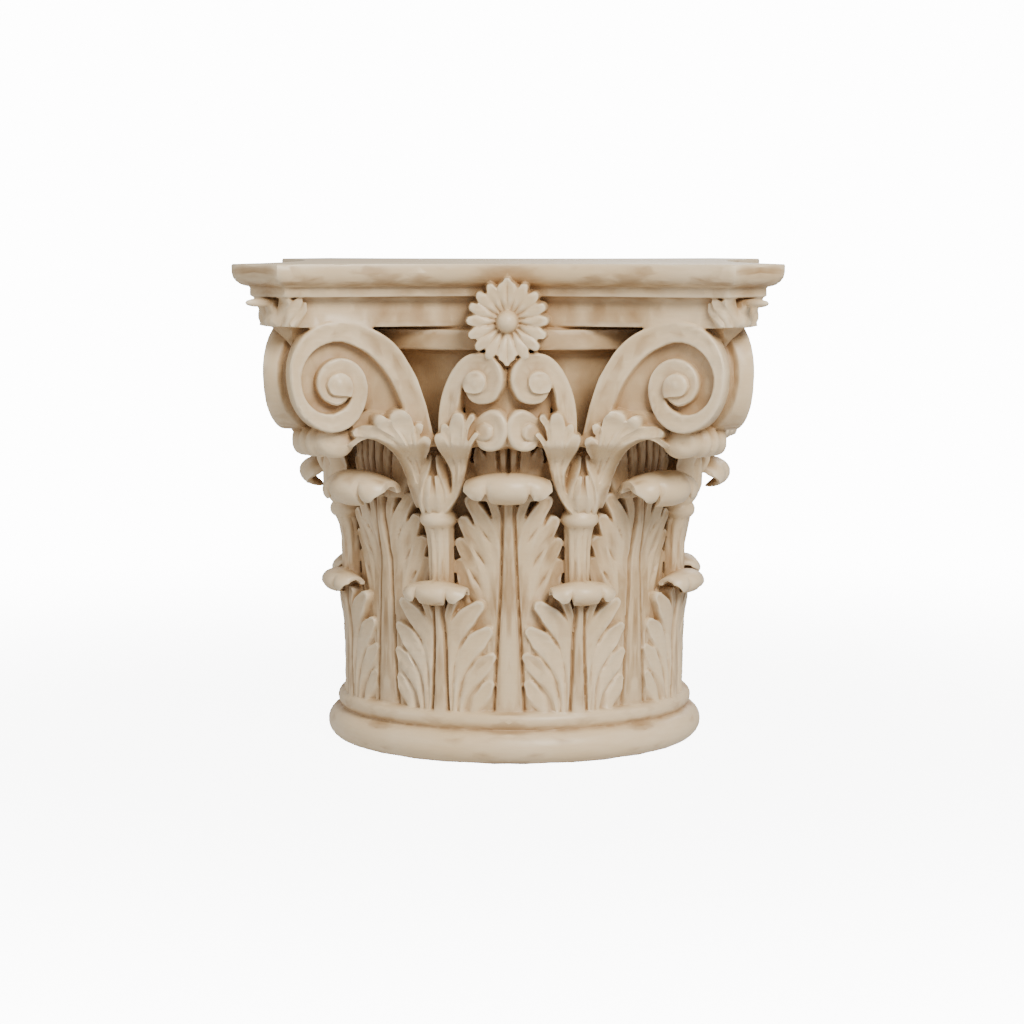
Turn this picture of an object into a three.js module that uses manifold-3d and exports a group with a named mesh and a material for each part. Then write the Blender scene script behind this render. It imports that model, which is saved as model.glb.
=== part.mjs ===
// A capital of the corinthian kind for a round shaft, cast in one piece.
// Millimetres, +Z up. The origin is the middle of the underside.
// Front face towards -Y. Azimuths turn from the front towards +X.
import * as THREE from 'three';
import { ParametricGeometry } from 'three/addons/geometries/ParametricGeometry.js';
import { SimplifyModifier } from 'three/addons/modifiers/SimplifyModifier.js';
import { mergeVertices } from 'three/addons/utils/BufferGeometryUtils.js';
import Module from 'manifold-3d';

// Overall
const totalHeight = 370;

// Facets of the finished surface, and the waste left at both ends until they are cut flat
const facetLimit = 9700;
const sawWaste = 3;
const roundSides = 64;

// Base torus and neck ring
const torusHeight = 24.4;
const torusReach = 146.3;
const neckRingHeight = 11.6;
const neckRingReach = 138.5;

// Bell: a cup that flares into a round lip under the abacus
const bellFootRadius = 123;
const lipReach = 155;
const lipHeight = 17;
const bellFlare = 4.8;

// Abacus: concave sides and cut corners, from fascia up to ovolo
const fasciaHeight = 22;
const filletHeight = 6.9;
const ovoloHeight = 16.7;
const abacusHalfFront = 162;
const abacusReach = 199.5;
const abacusHollow = 34;
const filletSetBack = 13;
const fasciaSetBack = 22;
const filletNarrowing = 4;
const fasciaNarrowing = 8;
const ovoloTopFlat = 5;

// Tall leaves
const tallLeafHeight = 180;
const tallLeafHalfWidth = 41;
const tallLeafFootHalfWidth = 14;
const tallLeafFingers = 4;
const tallHoodRadius = 15;
const tallHoodHalfWidth = 30;
const tallHoodReach = 167;

// Low leaves
const lowLeafHeight = 98;
const lowLeafHalfWidth = 41;
const lowLeafFootHalfWidth = 34;
const lowLeafFingers = 4;
const lowHoodRadius = 10.5;
const lowHoodHalfWidth = 23;
const lowHoodReach = 159;

// Relief of all leaves over the bell
const tallLeafThickness = 7.5;
const lowLeafThickness = 11.5;
const leafRootDepth = 4.8;
const midribHalfWidth = 2.6;
const midribFootHalfWidth = 7;
const grooveWidth = 4;
const grooveDepth = 4;
const fingerDepth = 0.13;

// Stalks between the tall leaves, with their rings and buds
const stalkRadius = 10;
const stalkTop = 176;
const ringReach = 14;
const ringHeight = 12;
const budRadius = 14.5;
const budHeight = 44;

// Large scrolls under the corners of the abacus
const scrollRadius = 40;
const scrollBand = 13.5;
const scrollStemReach = 74;
const scrollStemDrop = 77;
const scrollStemBand = 20;
const scrollBlockDepth = 120;
const channelDepth = 5;
const channelWidth = 8;
const scrollRecess = 8;
const scrollTurn = 22;
const scrollEye = new THREE.Vector3(-122.1, -165.3, 283.7);

// Small scrolls beside the middle of each face
const helixRadius = 17;
const helixStemReach = 33;
const helixStemDrop = 52;
const helixDepth = 38;
const helixRecess = 2.5;
const helixTurn = -20;
const helixEye = new THREE.Vector3(-23.9, -170.3, 284.7);

// Leaf scrolls under the small scrolls
const leafScrollRadius = 15.5;
const leafScrollStemReach = 26;
const leafScrollStemDrop = 50;
const leafScrollDepth = 46;
const leafScrollEye = new THREE.Vector3(-15.5, -170.5, 251);

// Arched leaves and rolls that carry the corners
const archDepth = 30;
const archProud = 5;
const archCrownHeight = 21;
const archLobes = 4;
const archLobeHeight = 6;
const rollReach = 218;
const rollRadius = 13;
const rollHalfLength = 28;
const rollHeight = 240;

// Leaf tips that stand behind the tall leaves
const plateTop = 241;
const plateShoulder = 6;
const plateThickness = 12;

// Rosettes
const rosetteRadius = 31.5;
const rosettePetals = 8;
const rosetteHeight = 328.6;
const rosetteFace = 176;
const rosetteThickness = 9;
const buttonRadius = 8.2;
const buttonRise = 5;

// Corner leaves on the abacus
const cornerLeafHalfWidth = 21;
const cornerLeafProud = 14;

const leafFoot = torusHeight + neckRingHeight;
const ovoloFoot = totalHeight - ovoloHeight;
const filletFoot = ovoloFoot - filletHeight;
const fasciaFoot = filletFoot - fasciaHeight;
const lipFoot = fasciaFoot - lipHeight;
const bellTopRadius = lipReach - lipHeight / 3;

const wasm = await Module();
wasm.setup();

const { degToRad, lerp, clamp } = THREE.MathUtils;

// A closed shape with shared corners, turned into a solid with its faces out
function solidFrom(geometry) {
  const bare = geometry.clone();
  bare.deleteAttribute('normal');
  bare.deleteAttribute('uv');
  const merged = mergeVertices(bare, 0.001);
  const corners = new Float32Array(merged.getAttribute('position').array);
  const index = merged.getIndex().array;
  const faces = [];
  const a = new THREE.Vector3();
  const b = new THREE.Vector3();
  const c = new THREE.Vector3();
  let volume = 0;
  for (let i = 0; i < index.length; i += 3) {
    const [p, q, r] = [index[i], index[i + 1], index[i + 2]];
    if (p === q || q === r || r === p) continue;
    faces.push(p, q, r);
    a.fromArray(corners, p * 3);
    b.fromArray(corners, q * 3);
    c.fromArray(corners, r * 3);
    volume += a.dot(b.cross(c));
  }
  const triVerts = new Uint32Array(faces);
  if (volume < 0) triVerts.reverse();
  return new wasm.Manifold(new wasm.Mesh({ numProp: 3, vertProperties: corners, triVerts }));
}

// A skin over closed rings of points. Both ends are closed, unless the last ring
// is already folded flat on itself.
function skin(rings, folded = false) {
  const centre = (ring) => {
    const sum = new THREE.Vector3();
    for (const point of ring) sum.add(point);
    return sum.divideScalar(ring.length);
  };
  const first = centre(rings[0]);
  const last = centre(rings[rings.length - 1]);
  const rows = [rings[0].map(() => first), ...rings];
  if (!folded) rows.push(rings[0].map(() => last));
  const across = rings[0].length;
  const along = rows.length - 1;
  const place = (u, v, target) => {
    const row = rows[Math.round(v * along)];
    target.copy(row[Math.round(u * across) % across]);
  };
  return solidFrom(new ParametricGeometry(place, across, along));
}

function atAzimuth(degrees, radius, z) {
  const angle = degToRad(degrees);
  return new THREE.Vector3(radius * Math.sin(angle), -radius * Math.cos(angle), z);
}

function turned(solid, degrees) {
  return solid.rotate([0, 0, degrees]);
}

function mirrored(solid) {
  return solid.mirror([1, 0, 0]);
}

function bellRadiusAt(z) {
  const share = clamp((z - leafFoot) / (lipFoot - leafFoot), 0, 1);
  return bellFootRadius + (bellTopRadius - bellFootRadius) * share ** bellFlare;
}

// Base, neck ring, bell and lip in one skin. Eight plates of ribbed leaf tips stand on
// the bell behind the heads of the tall leaves.
function turnedBody() {
  const levels = [];
  const level = (z, radius, plate = 0, drop = 0) => levels.push({ z, radius, plate, drop });
  const bulge = (reach, foot, height, steps) => {
    const half = height / 2;
    for (let i = 0; i <= steps; i += 1) {
      const angle = -Math.PI / 2 + (Math.PI * i) / steps;
      level(foot + half + half * Math.sin(angle), reach - half + half * Math.cos(angle));
    }
  };
  level(-sawWaste, torusReach - torusHeight / 2);
  bulge(torusReach, 0, torusHeight, 8);
  bulge(neckRingReach, torusHeight, neckRingHeight, 5);
  level(leafFoot, bellFootRadius);
  const plateFoot = leafFoot + tallLeafHeight - tallHoodRadius * 1.2;
  level(plateFoot, bellRadiusAt(plateFoot));
  level(plateFoot, bellRadiusAt(plateFoot), plateThickness);
  level(plateTop, bellRadiusAt(plateTop), plateThickness, plateShoulder);
  level(plateTop, bellRadiusAt(plateTop), 0, plateShoulder);
  for (const share of [0.3, 0.55, 0.8, 1]) {
    const z = lerp(plateTop, lipFoot, share);
    level(z, bellRadiusAt(z));
  }
  bulge(lipReach, lipFoot, lipHeight, 5);
  level(fasciaFoot, bellFootRadius);
  level(fasciaFoot + filletHeight, bellFootRadius);
  const perLeaf = roundSides / 8;
  const rings = levels.map(({ z, radius, plate, drop }) => {
    const ring = [];
    for (let i = 0; i < roundSides; i += 1) {
      const column = Math.min(i % perLeaf, perLeaf - (i % perLeaf));
      const proud = column < perLeaf / 2 ? plate * (column % 2 ? 0.55 : 1) : 0;
      const low = drop * (column / 2) ** 1.5 + (column % 2 ? drop * 0.4 : 0);
      ring.push(atAzimuth((360 * i) / roundSides, radius + proud, z - low));
    }
    return ring;
  });
  return skin(rings);
}

// One level of the abacus: four hollow sides and four cut corners
function abacusRing(z, narrowing, setBack) {
  const half = abacusHalfFront - narrowing;
  const reach = abacusReach - setBack;
  const steps = 12;
  const ring = [];
  for (let side = 0; side < 4; side += 1) {
    for (let i = 0; i <= steps; i += 1) {
      const across = -1 + (2 * i) / steps;
      const depth = reach - abacusHollow * (1 - across * across);
      const point = new THREE.Vector3(half * across, -depth, z);
      ring.push(point.applyAxisAngle(new THREE.Vector3(0, 0, 1), (side * Math.PI) / 2));
    }
  }
  return ring;
}

function abacus() {
  const rings = [
    abacusRing(fasciaFoot, fasciaNarrowing, fasciaSetBack),
    abacusRing(filletFoot, fasciaNarrowing, fasciaSetBack),
    abacusRing(filletFoot, filletNarrowing, filletSetBack),
    abacusRing(ovoloFoot, filletNarrowing, filletSetBack),
  ];
  const steps = 5;
  const curveHeight = ovoloHeight - ovoloTopFlat;
  for (let i = 1; i <= steps; i += 1) {
    const angle = (Math.PI / 2) * (i / steps);
    const narrow = 1 - Math.sin(angle);
    const z = ovoloFoot + curveHeight * (1 - Math.cos(angle));
    rings.push(abacusRing(z, filletNarrowing * narrow, filletSetBack * narrow));
  }
  rings.push(abacusRing(totalHeight + sawWaste, 0, 0));
  return skin(rings);
}

// A leaf laid on the bell, in one skin. A midrib lies between two grooves, and veins rise
// from the foot and turn out into rounded fingers. The head bends out and down over the
// blade, with a long middle lobe and two shorter lobes on each side.
// Heights are shares of the leaf's own height.
function leaf(spec) {
  const { height, thickness, halfWidth, footHalfWidth, fingers, firstTip, lastTip, widest, roundness } = spec;
  const { hoodRadius, hoodHalfWidth, hoodReach } = spec;
  const foot = leafFoot - leafRootDepth;
  const pitch = (lastTip - firstTip) / (fingers - 1);
  const outline = (share) => halfWidth * Math.sqrt(Math.max(0.1, 1 - ((share - widest) / roundness) ** 2));
  const rows = [{ start: 0, x: footHalfWidth, y: 0, valley: 0 }];
  for (let finger = 0; finger < fingers; finger += 1) {
    for (const across of [0, 0.25, 0.55, 0.85]) {
      const y = firstTip + pitch * (finger + across - 0.5);
      const start = lerp(0.02, 0.62, (finger + across) / fingers);
      rows.push({ start, x: outline(y), y, valley: Math.abs(2 * across - 1) ** 2.5 });
    }
  }
  rows.push({ start: 0.64, x: outline(lastTip + pitch / 2), y: lastTip + pitch / 2, valley: 1 });
  rows.push({ start: 0.93, x: hoodHalfWidth * 0.9, y: 0.93, valley: 0 });
  const rings = rows.map((row) => {
    const ribHalf = lerp(midribFootHalfWidth, midribHalfWidth, Math.min(1, row.start * 1.6));
    const start = ribHalf + grooveWidth;
    const point = (x, share, proud) => {
      const z = foot + height * share;
      const radius = bellRadiusAt(z) + proud;
      return atAzimuth(THREE.MathUtils.radToDeg(x / radius), radius, z);
    };
    const vein = (t) => {
      const along = t * (1 - fingerDepth * row.valley);
      return [start + (row.x - start) * along * along, row.start + (row.y - row.start) * along];
    };
    const [edge, edgeHeight] = vein(1);
    const half = [
      [ribHalf + grooveWidth / 2, row.start, thickness - grooveDepth],
      [...vein(0), thickness],
      [...vein(0.45), thickness - 0.7 * row.valley],
      [...vein(0.75), thickness - 0.5 - 2 * row.valley],
      [...vein(1), thickness - 1.5 - 2 * row.valley],
      [edge, edgeHeight, -leafRootDepth],
      [edge * 0.75, edgeHeight, -leafRootDepth],
      [edge * 0.5, edgeHeight, -leafRootDepth],
      [edge * 0.25, edgeHeight, -leafRootDepth],
    ];
    return [
      point(0, row.start, thickness),
      ...half.map(([x, share, proud]) => point(x, share, proud)),
      point(0, edgeHeight, -leafRootDepth),
      ...half.reverse().map(([x, share, proud]) => point(-x, share, proud)),
    ];
  });
  const lobes = [
    { across: 0, last: -80 },
    { across: 0.22, last: -85 },
    { across: 0.44, last: -20 },
    { across: 0.6, last: -52 },
    { across: 0.82, last: -5 },
    { across: 1, last: -20 },
  ];
  const top = leafFoot + height;
  for (const turnShare of [0, 0.25, 0.5, 0.75, 1]) {
    const head = (side, lobe, depth) => {
      const sag = lobe.across * lobe.across;
      const arc = hoodRadius * Math.sqrt(1 - 0.6 * sag) - (turnShare < 1 ? depth : 0);
      const middle = hoodReach - hoodRadius * (1 + 0.4 * sag);
      const angle = degToRad(lerp(105, lobe.last, turnShare));
      const azimuth = THREE.MathUtils.radToDeg((side * lobe.across * hoodHalfWidth) / middle);
      const z = top - hoodRadius * (1 + 0.45 * sag) + arc * Math.sin(angle);
      return atAzimuth(azimuth, middle + arc * Math.cos(angle), z);
    };
    const under = hoodRadius * 0.55;
    const inside = lobes.slice(1, -1);
    const edge = lobes[lobes.length - 1];
    rings.push([
      head(1, lobes[0], under),
      ...inside.map((lobe) => head(1, lobe, under)),
      head(1, edge, under / 2),
      ...inside.slice().reverse().map((lobe) => head(1, lobe, 0)),
      head(1, lobes[0], 0),
      ...inside.map((lobe) => head(-1, lobe, 0)),
      head(-1, edge, under / 2),
      ...inside.slice().reverse().map((lobe) => head(-1, lobe, under)),
    ]);
  }
  return skin(rings, true);
}

// Stalk with its ring and bud, rounded in front and rooted in the bell
function stalk() {
  const bud = stalkTop + ringHeight;
  const levels = [
    [leafFoot + lowLeafHeight - lowHoodRadius * 0.5, stalkRadius],
    [stalkTop, stalkRadius],
    [stalkTop + ringHeight * 0.2, ringReach * 0.93],
    [stalkTop + ringHeight * 0.5, ringReach],
    [stalkTop + ringHeight * 0.8, ringReach * 0.93],
    [bud, budRadius * 0.7],
    [bud + budHeight * 0.2, budRadius * 0.9],
    [bud + budHeight * 0.45, budRadius],
    [bud + budHeight * 0.8, budRadius * 0.9],
    [bud + budHeight, budRadius * 0.4],
  ];
  const rings = levels.map(([z, radius]) => {
    const middle = bellRadiusAt(z) + budRadius - leafRootDepth;
    const ring = [atAzimuth(0, middle - budRadius - leafRootDepth, z)];
    for (let i = 0; i <= 8; i += 1) {
      const angle = Math.PI * (i / 8);
      ring.push(new THREE.Vector3(radius * Math.cos(angle), -(middle + radius * Math.sin(angle)), z));
    }
    return ring;
  });
  return skin(rings);
}

// Points of an ellipse's quarter or more, in the plane of a scroll
function arcPoints(x, y, reachX, reachY, fromDegrees, toDegrees, steps) {
  const points = [];
  for (let i = 0; i <= steps; i += 1) {
    const angle = degToRad(lerp(fromDegrees, toDegrees, i / steps));
    points.push(new THREE.Vector2(x + reachX * Math.cos(angle), y + reachY * Math.sin(angle)));
  }
  return points;
}

// A scroll from the front: a stem that rises, turns over and winds in to an eye at (0, 0).
// It is made of half circles that shrink by one ratio and share their end points.
const winding = 0.66;

function scrollOutline({ radius, stemReach, stemDrop, steps }) {
  const crown = (2 * radius) / (1 + winding);
  return [
    ...arcPoints(0, crown - stemDrop, stemReach, stemDrop, 0, 90, steps),
    ...arcPoints(0, crown - radius, radius, radius, 90, 270, steps + 2).slice(1),
  ];
}

// The sunk field between the windings, from the foot of the stem to the eye
function scrollField({ radius, band, stemReach, stemDrop, stemBand, steps }) {
  const crown = (2 * radius) / (1 + winding);
  const foot = crown - 2 * radius;
  const first = radius - band;
  const second = radius * winding;
  const third = second * winding;
  const innerTop = foot + 2 * second - band * winding;
  const eyeFoot = foot + 2 * second - 2 * third;
  const gap = (innerTop - foot - band) / 2;
  const eye = (innerTop - band * 0.2 - eyeFoot) / 2;
  return [
    ...arcPoints(0, crown - stemDrop, stemReach - stemBand, stemDrop - band, 12, 90, steps),
    ...arcPoints(0, crown - radius, first, first, 90, 270, steps).slice(1),
    ...arcPoints(0, foot + band + gap, gap, gap, -90, 90, steps - 1).slice(1),
    ...arcPoints(0, eyeFoot + eye, eye, eye, 90, -90, steps - 1),
    ...arcPoints(0, eyeFoot + third, third, third, 270, 90, steps - 1).slice(1),
    ...arcPoints(0, foot + second, second, second, 90, -35, steps - 1).slice(1),
  ];
}

// An outline in a scroll's plane, extruded behind the plane and set in its place.
// Turn is the azimuth that the plane faces, and side is -1 where the stem is on the left.
function inPlane(points, eye, degrees, side, front, depth) {
  const outline = points.map((p) => new THREE.Vector2(p.x * side, p.y));
  const body = new THREE.ExtrudeGeometry(new THREE.Shape(outline), { depth, steps: 1, bevelEnabled: false });
  body.translate(0, 0, front - depth);
  const angle = degToRad(degrees);
  const across = new THREE.Vector3(Math.cos(angle), Math.sin(angle), 0);
  const up = new THREE.Vector3(0, 0, 1);
  const out = new THREE.Vector3(Math.sin(angle), -Math.cos(angle), 0);
  const place = new THREE.Matrix4().makeBasis(across, up, out).setPosition(eye);
  body.applyMatrix4(place);
  return solidFrom(body);
}

const largeScroll = {
  radius: scrollRadius,
  band: scrollBand,
  stemReach: scrollStemReach,
  stemDrop: scrollStemDrop,
  stemBand: scrollStemBand,
  steps: 10,
};
const smallScroll = {
  radius: helixRadius,
  stemReach: helixStemReach,
  stemDrop: helixStemDrop,
  steps: 8,
};
const leafScroll = {
  radius: leafScrollRadius,
  stemReach: leafScrollStemReach,
  stemDrop: leafScrollStemDrop,
  steps: 8,
};

// A leaf that springs from the stalk and arches under the large scroll to the corner.
// Its upper edge is lobed.
function archLeaf() {
  const middle = new THREE.Vector2(24, -75);
  const hollow = 36;
  const from = -12;
  const to = 128;
  const lower = arcPoints(middle.x, middle.y, hollow, hollow, to, from, 12);
  const upper = [];
  const steps = archLobes * 4;
  for (let i = 0; i <= steps; i += 1) {
    const share = i / steps;
    const lobe = Math.abs(Math.sin(Math.PI * archLobes * share)) ** 0.7;
    const width = archCrownHeight * (1 - 0.55 * share * share) + lobe * archLobeHeight * (1 - share / 2);
    const angle = degToRad(lerp(from, to, share));
    upper.push(new THREE.Vector2(
      middle.x + (hollow + width) * Math.cos(angle),
      middle.y + (hollow + width) * Math.sin(angle),
    ));
  }
  return inPlane([...lower, ...upper], scrollEye, scrollTurn, 1, archProud, archDepth);
}

// The rolled end of two leaves under a corner, a lobed roll across the diagonal
function cornerRoll() {
  const profile = [new THREE.Vector2(0, -rollHalfLength)];
  const ridges = 4;
  const steps = ridges * 2;
  for (let i = 0; i <= steps; i += 1) {
    const across = -1 + (2 * i) / steps;
    const round = Math.sqrt(1 - (0.8 * across) ** 2);
    profile.push(new THREE.Vector2(rollRadius * round * (i % 2 ? 1 : 0.86), across * rollHalfLength * 0.96));
  }
  profile.push(new THREE.Vector2(0, rollHalfLength));
  const body = new THREE.LatheGeometry(profile, 14);
  body.rotateZ(Math.PI / 2);
  body.translate(0, -(rollReach - rollRadius), rollHeight);
  body.rotateZ(degToRad(-45));
  return solidFrom(body);
}

// Eight petals with doubled tips around a button, standing in front of the abacus
function rosette() {
  const perPetal = 6;
  const notches = [0.74, 0.93, 1, 0.95, 1, 0.93];
  const hollows = [1, 0.3, 0, 0.35, 0, 0.3];
  const count = rosettePetals * perPetal;
  const ring = (share, y, dip = 0) => {
    const points = [];
    for (let i = 0; i < count; i += 1) {
      const petal = i % perPetal;
      const angle = (Math.PI * 2 * (i - perPetal / 2)) / count;
      const radius = rosetteRadius * lerp(1, notches[petal], share) * share;
      const depth = y - dip * hollows[petal];
      points.push(new THREE.Vector3(radius * Math.sin(angle), -depth, rosetteHeight - radius * Math.cos(angle)));
    }
    return points;
  };
  const back = abacusReach - abacusHollow - fasciaSetBack - rosetteThickness;
  const flower = skin([
    ring(0.92, back),
    ring(1, rosetteFace - rosetteThickness * 0.7),
    ring(0.94, rosetteFace - 1, 3),
    ring(0.62, rosetteFace - 1, 3.5),
    ring(0.3, rosetteFace - rosetteThickness * 0.5, 1),
  ]);
  const button = new THREE.SphereGeometry(buttonRadius, 14, 8);
  button.translate(0, -(rosetteFace + buttonRise - buttonRadius), rosetteHeight);
  return flower.add(solidFrom(button));
}

// A small leaf over the cut corner of the abacus, its tip curled out
function cornerLeaf() {
  const reach = (abacusHalfFront + abacusReach - fasciaNarrowing - fasciaSetBack) / Math.SQRT2;
  const stations = [-1, -0.8, -0.6, -0.4, -0.2, 0, 0.2, 0.4, 0.6, 0.8, 1];
  const rings = stations.map((across, k) => {
    const swell = cornerLeafProud * (1 - across * across) * (k % 2 ? 1 : 0.75);
    const x = across * cornerLeafHalfWidth;
    const back = reach - 12;
    const front = reach - Math.max(0, Math.abs(x) - cornerLeafHalfWidth * 0.75);
    return [
      new THREE.Vector3(x, -back, fasciaFoot),
      new THREE.Vector3(x, -(front + swell * 0.25), fasciaFoot),
      new THREE.Vector3(x, -(front + swell * 0.75), fasciaFoot + fasciaHeight * 0.45),
      new THREE.Vector3(x, -(front + swell * 1.3), filletFoot + filletHeight * 0.4),
      new THREE.Vector3(x, -(front + swell), ovoloFoot + 1),
      new THREE.Vector3(x, -back, ovoloFoot + 1),
    ];
  });
  const tip = new THREE.SphereGeometry(1, 8, 6);
  tip.scale(4.5, cornerLeafProud * 1.1, 3.2);
  tip.translate(0, -(reach + cornerLeafProud * 0.95), filletFoot - 5);
  return turned(skin(rings).add(solidFrom(tip)), -45);
}

const tall = leaf({
  height: tallLeafHeight,
  thickness: tallLeafThickness,
  halfWidth: tallLeafHalfWidth,
  footHalfWidth: tallLeafFootHalfWidth,
  fingers: tallLeafFingers,
  firstTip: 0.64,
  lastTip: 0.89,
  widest: 0.58,
  roundness: 0.48,
  hoodRadius: tallHoodRadius,
  hoodHalfWidth: tallHoodHalfWidth,
  hoodReach: tallHoodReach,
});
const low = leaf({
  height: lowLeafHeight,
  thickness: lowLeafThickness,
  halfWidth: lowLeafHalfWidth,
  footHalfWidth: lowLeafFootHalfWidth,
  fingers: lowLeafFingers,
  firstTip: 0.26,
  lastTip: 0.84,
  widest: 0.36,
  roundness: 0.8,
  hoodRadius: lowHoodRadius,
  hoodHalfWidth: lowHoodHalfWidth,
  hoodReach: lowHoodReach,
});
const stem = stalk();

const pieces = [turnedBody(), abacus()];
for (let i = 0; i < 8; i += 1) {
  pieces.push(turned(tall, 45 * i));
  pieces.push(turned(low, 22.5 + 45 * i));
  pieces.push(turned(stem, 22.5 + 45 * i));
}

// The two large scrolls of a corner share one block, with a channel between their rims
function cornerScrolls() {
  const block = inPlane(scrollOutline(largeScroll), scrollEye, scrollTurn, 1, 0, scrollBlockDepth);
  const sunk = inPlane(scrollField(largeScroll), scrollEye, scrollTurn, 1, 1, scrollRecess + 1);
  const across = (solid) => solid.mirror([1, -1, 0]);
  const reach = scrollRadius - channelDepth;
  const wide = channelWidth / 2;
  const profile = [
    new THREE.Vector2(reach, -wide),
    new THREE.Vector2(scrollRadius * 1.3, -wide),
    new THREE.Vector2(scrollRadius * 1.3, wide),
    new THREE.Vector2(reach, wide),
    new THREE.Vector2(reach, -wide),
  ];
  const channel = new THREE.LatheGeometry(profile, 24);
  const crown = (2 * scrollRadius) / (1 + winding);
  channel.rotateZ(Math.PI / 2);
  channel.translate(0, (scrollEye.x + scrollEye.y) / Math.SQRT2, scrollEye.z + crown - scrollRadius);
  channel.rotateZ(degToRad(-45));
  return block.intersect(across(block)).subtract(sunk).subtract(across(sunk)).subtract(solidFrom(channel));
}

// A small scroll is a plain block with its eye raised as a button
function smallScrollSolid(spec, eye, depth) {
  const button = arcPoints(0, 0, spec.radius * 0.4, spec.radius * 0.4, 0, 330, 11);
  const block = inPlane(scrollOutline(spec), eye, helixTurn, -1, 0, depth);
  return block.add(inPlane(button, eye, helixTurn, -1, helixRecess, helixRecess * 2));
}

const arch = archLeaf();
const helix = smallScrollSolid(smallScroll, helixEye, helixDepth);
const inner = smallScrollSolid(leafScroll, leafScrollEye, leafScrollDepth);
const halfFace = [arch, helix, inner];
const corner = [cornerScrolls(), cornerRoll(), cornerLeaf()];
const flower = rosette();
for (let i = 0; i < 4; i += 1) {
  for (const piece of halfFace) {
    pieces.push(turned(piece, 90 * i));
    pieces.push(turned(mirrored(piece), 90 * i));
  }
  for (const piece of corner) pieces.push(turned(piece, 90 * i));
  pieces.push(turned(flower, 90 * i));
}

// The fused body as one welded surface without slivers
function surfaceOf(solid) {
  const { vertProperties, triVerts } = solid.getMesh();
  const shape = new THREE.BufferGeometry();
  shape.setAttribute('position', new THREE.BufferAttribute(new Float32Array(vertProperties), 3));
  shape.setIndex(new THREE.BufferAttribute(new Uint32Array(triVerts), 1));
  const welded = mergeVertices(shape, 0.01);
  const index = welded.getIndex().array;
  const faces = [];
  for (let i = 0; i < index.length; i += 3) {
    const [p, q, r] = [index[i], index[i + 1], index[i + 2]];
    if (p !== q && q !== r && r !== p) faces.push(p, q, r);
  }
  welded.setIndex(faces);
  return welded;
}

const carved = surfaceOf(wasm.Manifold.union(pieces));
const spare = 1 - (facetLimit * 3) / carved.getIndex().count;
const removed = Math.floor(carved.getAttribute('position').count * spare);
const lean = await new SimplifyModifier().modify(carved, removed);
const blank = new THREE.BoxGeometry(abacusReach * 3, abacusReach * 3, totalHeight);
blank.translate(0, 0, totalHeight / 2);
const finished = surfaceOf(solidFrom(lean).intersect(solidFrom(blank)));
finished.computeVertexNormals();

const stone = new THREE.MeshStandardMaterial({ color: 0xd6c7ac, roughness: 0.55, metalness: 0 });
const capital = new THREE.Mesh(finished, stone);
capital.name = 'capital';

const model = new THREE.Group();
model.add(capital);

export default model;
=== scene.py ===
import bpy
import bmesh
import numpy as np
from math import cos, sin, pi, radians, degrees, sqrt
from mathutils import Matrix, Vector, noise
from mathutils.bvhtree import BVHTree
from mathutils.geometry import delaunay_2d_cdt
from mathutils.kdtree import KDTree


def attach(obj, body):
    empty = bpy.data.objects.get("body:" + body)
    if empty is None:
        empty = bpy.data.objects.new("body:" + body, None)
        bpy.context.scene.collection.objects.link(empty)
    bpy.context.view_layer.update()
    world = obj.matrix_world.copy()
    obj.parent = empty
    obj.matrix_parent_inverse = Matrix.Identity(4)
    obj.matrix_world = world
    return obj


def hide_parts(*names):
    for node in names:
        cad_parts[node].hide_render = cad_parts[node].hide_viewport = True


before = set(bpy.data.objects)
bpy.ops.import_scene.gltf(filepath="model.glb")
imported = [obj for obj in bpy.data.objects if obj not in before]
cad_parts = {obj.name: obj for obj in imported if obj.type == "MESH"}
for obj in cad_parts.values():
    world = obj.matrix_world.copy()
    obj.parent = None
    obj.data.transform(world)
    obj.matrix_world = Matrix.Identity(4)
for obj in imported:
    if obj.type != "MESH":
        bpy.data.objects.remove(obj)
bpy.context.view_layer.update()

# Everything is worked out in millimetres, z up from the underside, and scaled to metres at the end.
# Azimuths are in degrees, 0 at the front and positive to the right.
# Only an eighth of the capital is carved: from the middle of the front to its left corner.
# The eighth is mirrored and turned into the whole.

HEIGHT = 370.0
VOXEL = 0.8
EIGHTH_TRIANGLES = 15500
MOST_TRIANGLES = 196000
GRID = 0.6
COARSE_GRID = 0.8

# Turned body
TORUS_REACH = 146.3
TORUS_TOP = 24.4
NECK_REACH = 138.5
NECK_TOP = 38.0
BELL_FOOT = 123.0
BELL_FLARE = 4.8
LIP_REACH = 155.0
LIP_FOOT = 307.0
BELL_TOP = LIP_REACH - 14
CORE_REACH = 25

# Abacus
FASCIA_FOOT = 324.4
FILLET_FOOT = 346.4
OVOLO_FOOT = 353.3
OVOLO_TOP_FLAT = 5.0
ABACUS_HALF = 162.0
ABACUS_REACH = 199.5
ABACUS_HOLLOW = 34.0

# Directions that carry the ornament
UP = np.array([0, 0, 1.0])
CORNER = -45.0
STALK = -22.5
BUD_FACING = -5.0
DIAGONAL = np.array([-1, -1, 0]) / sqrt(2)
ALONG = np.array([1, -1, 0]) / sqrt(2)


def bell(z):
    """Radius of the bell behind the leaves at a height."""
    z = np.asarray(z, float)
    t = np.clip((z - NECK_TOP) / (LIP_FOOT - NECK_TOP), 0, 1)
    return BELL_FOOT + (BELL_TOP - BELL_FOOT) * t ** BELL_FLARE


def at(azimuth, radius, z):
    """Point at an azimuth, a radius and a height."""
    a = np.radians(azimuth)
    return np.stack(np.broadcast_arrays(radius * np.sin(a), -radius * np.cos(a), z), -1)


def smooth(low, high, x):
    """Soft step from 0 at low to 1 at high."""
    t = np.clip((np.asarray(x, float) - low) / (high - low), 0, 1)
    return t * t * (3 - 2 * t)


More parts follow.
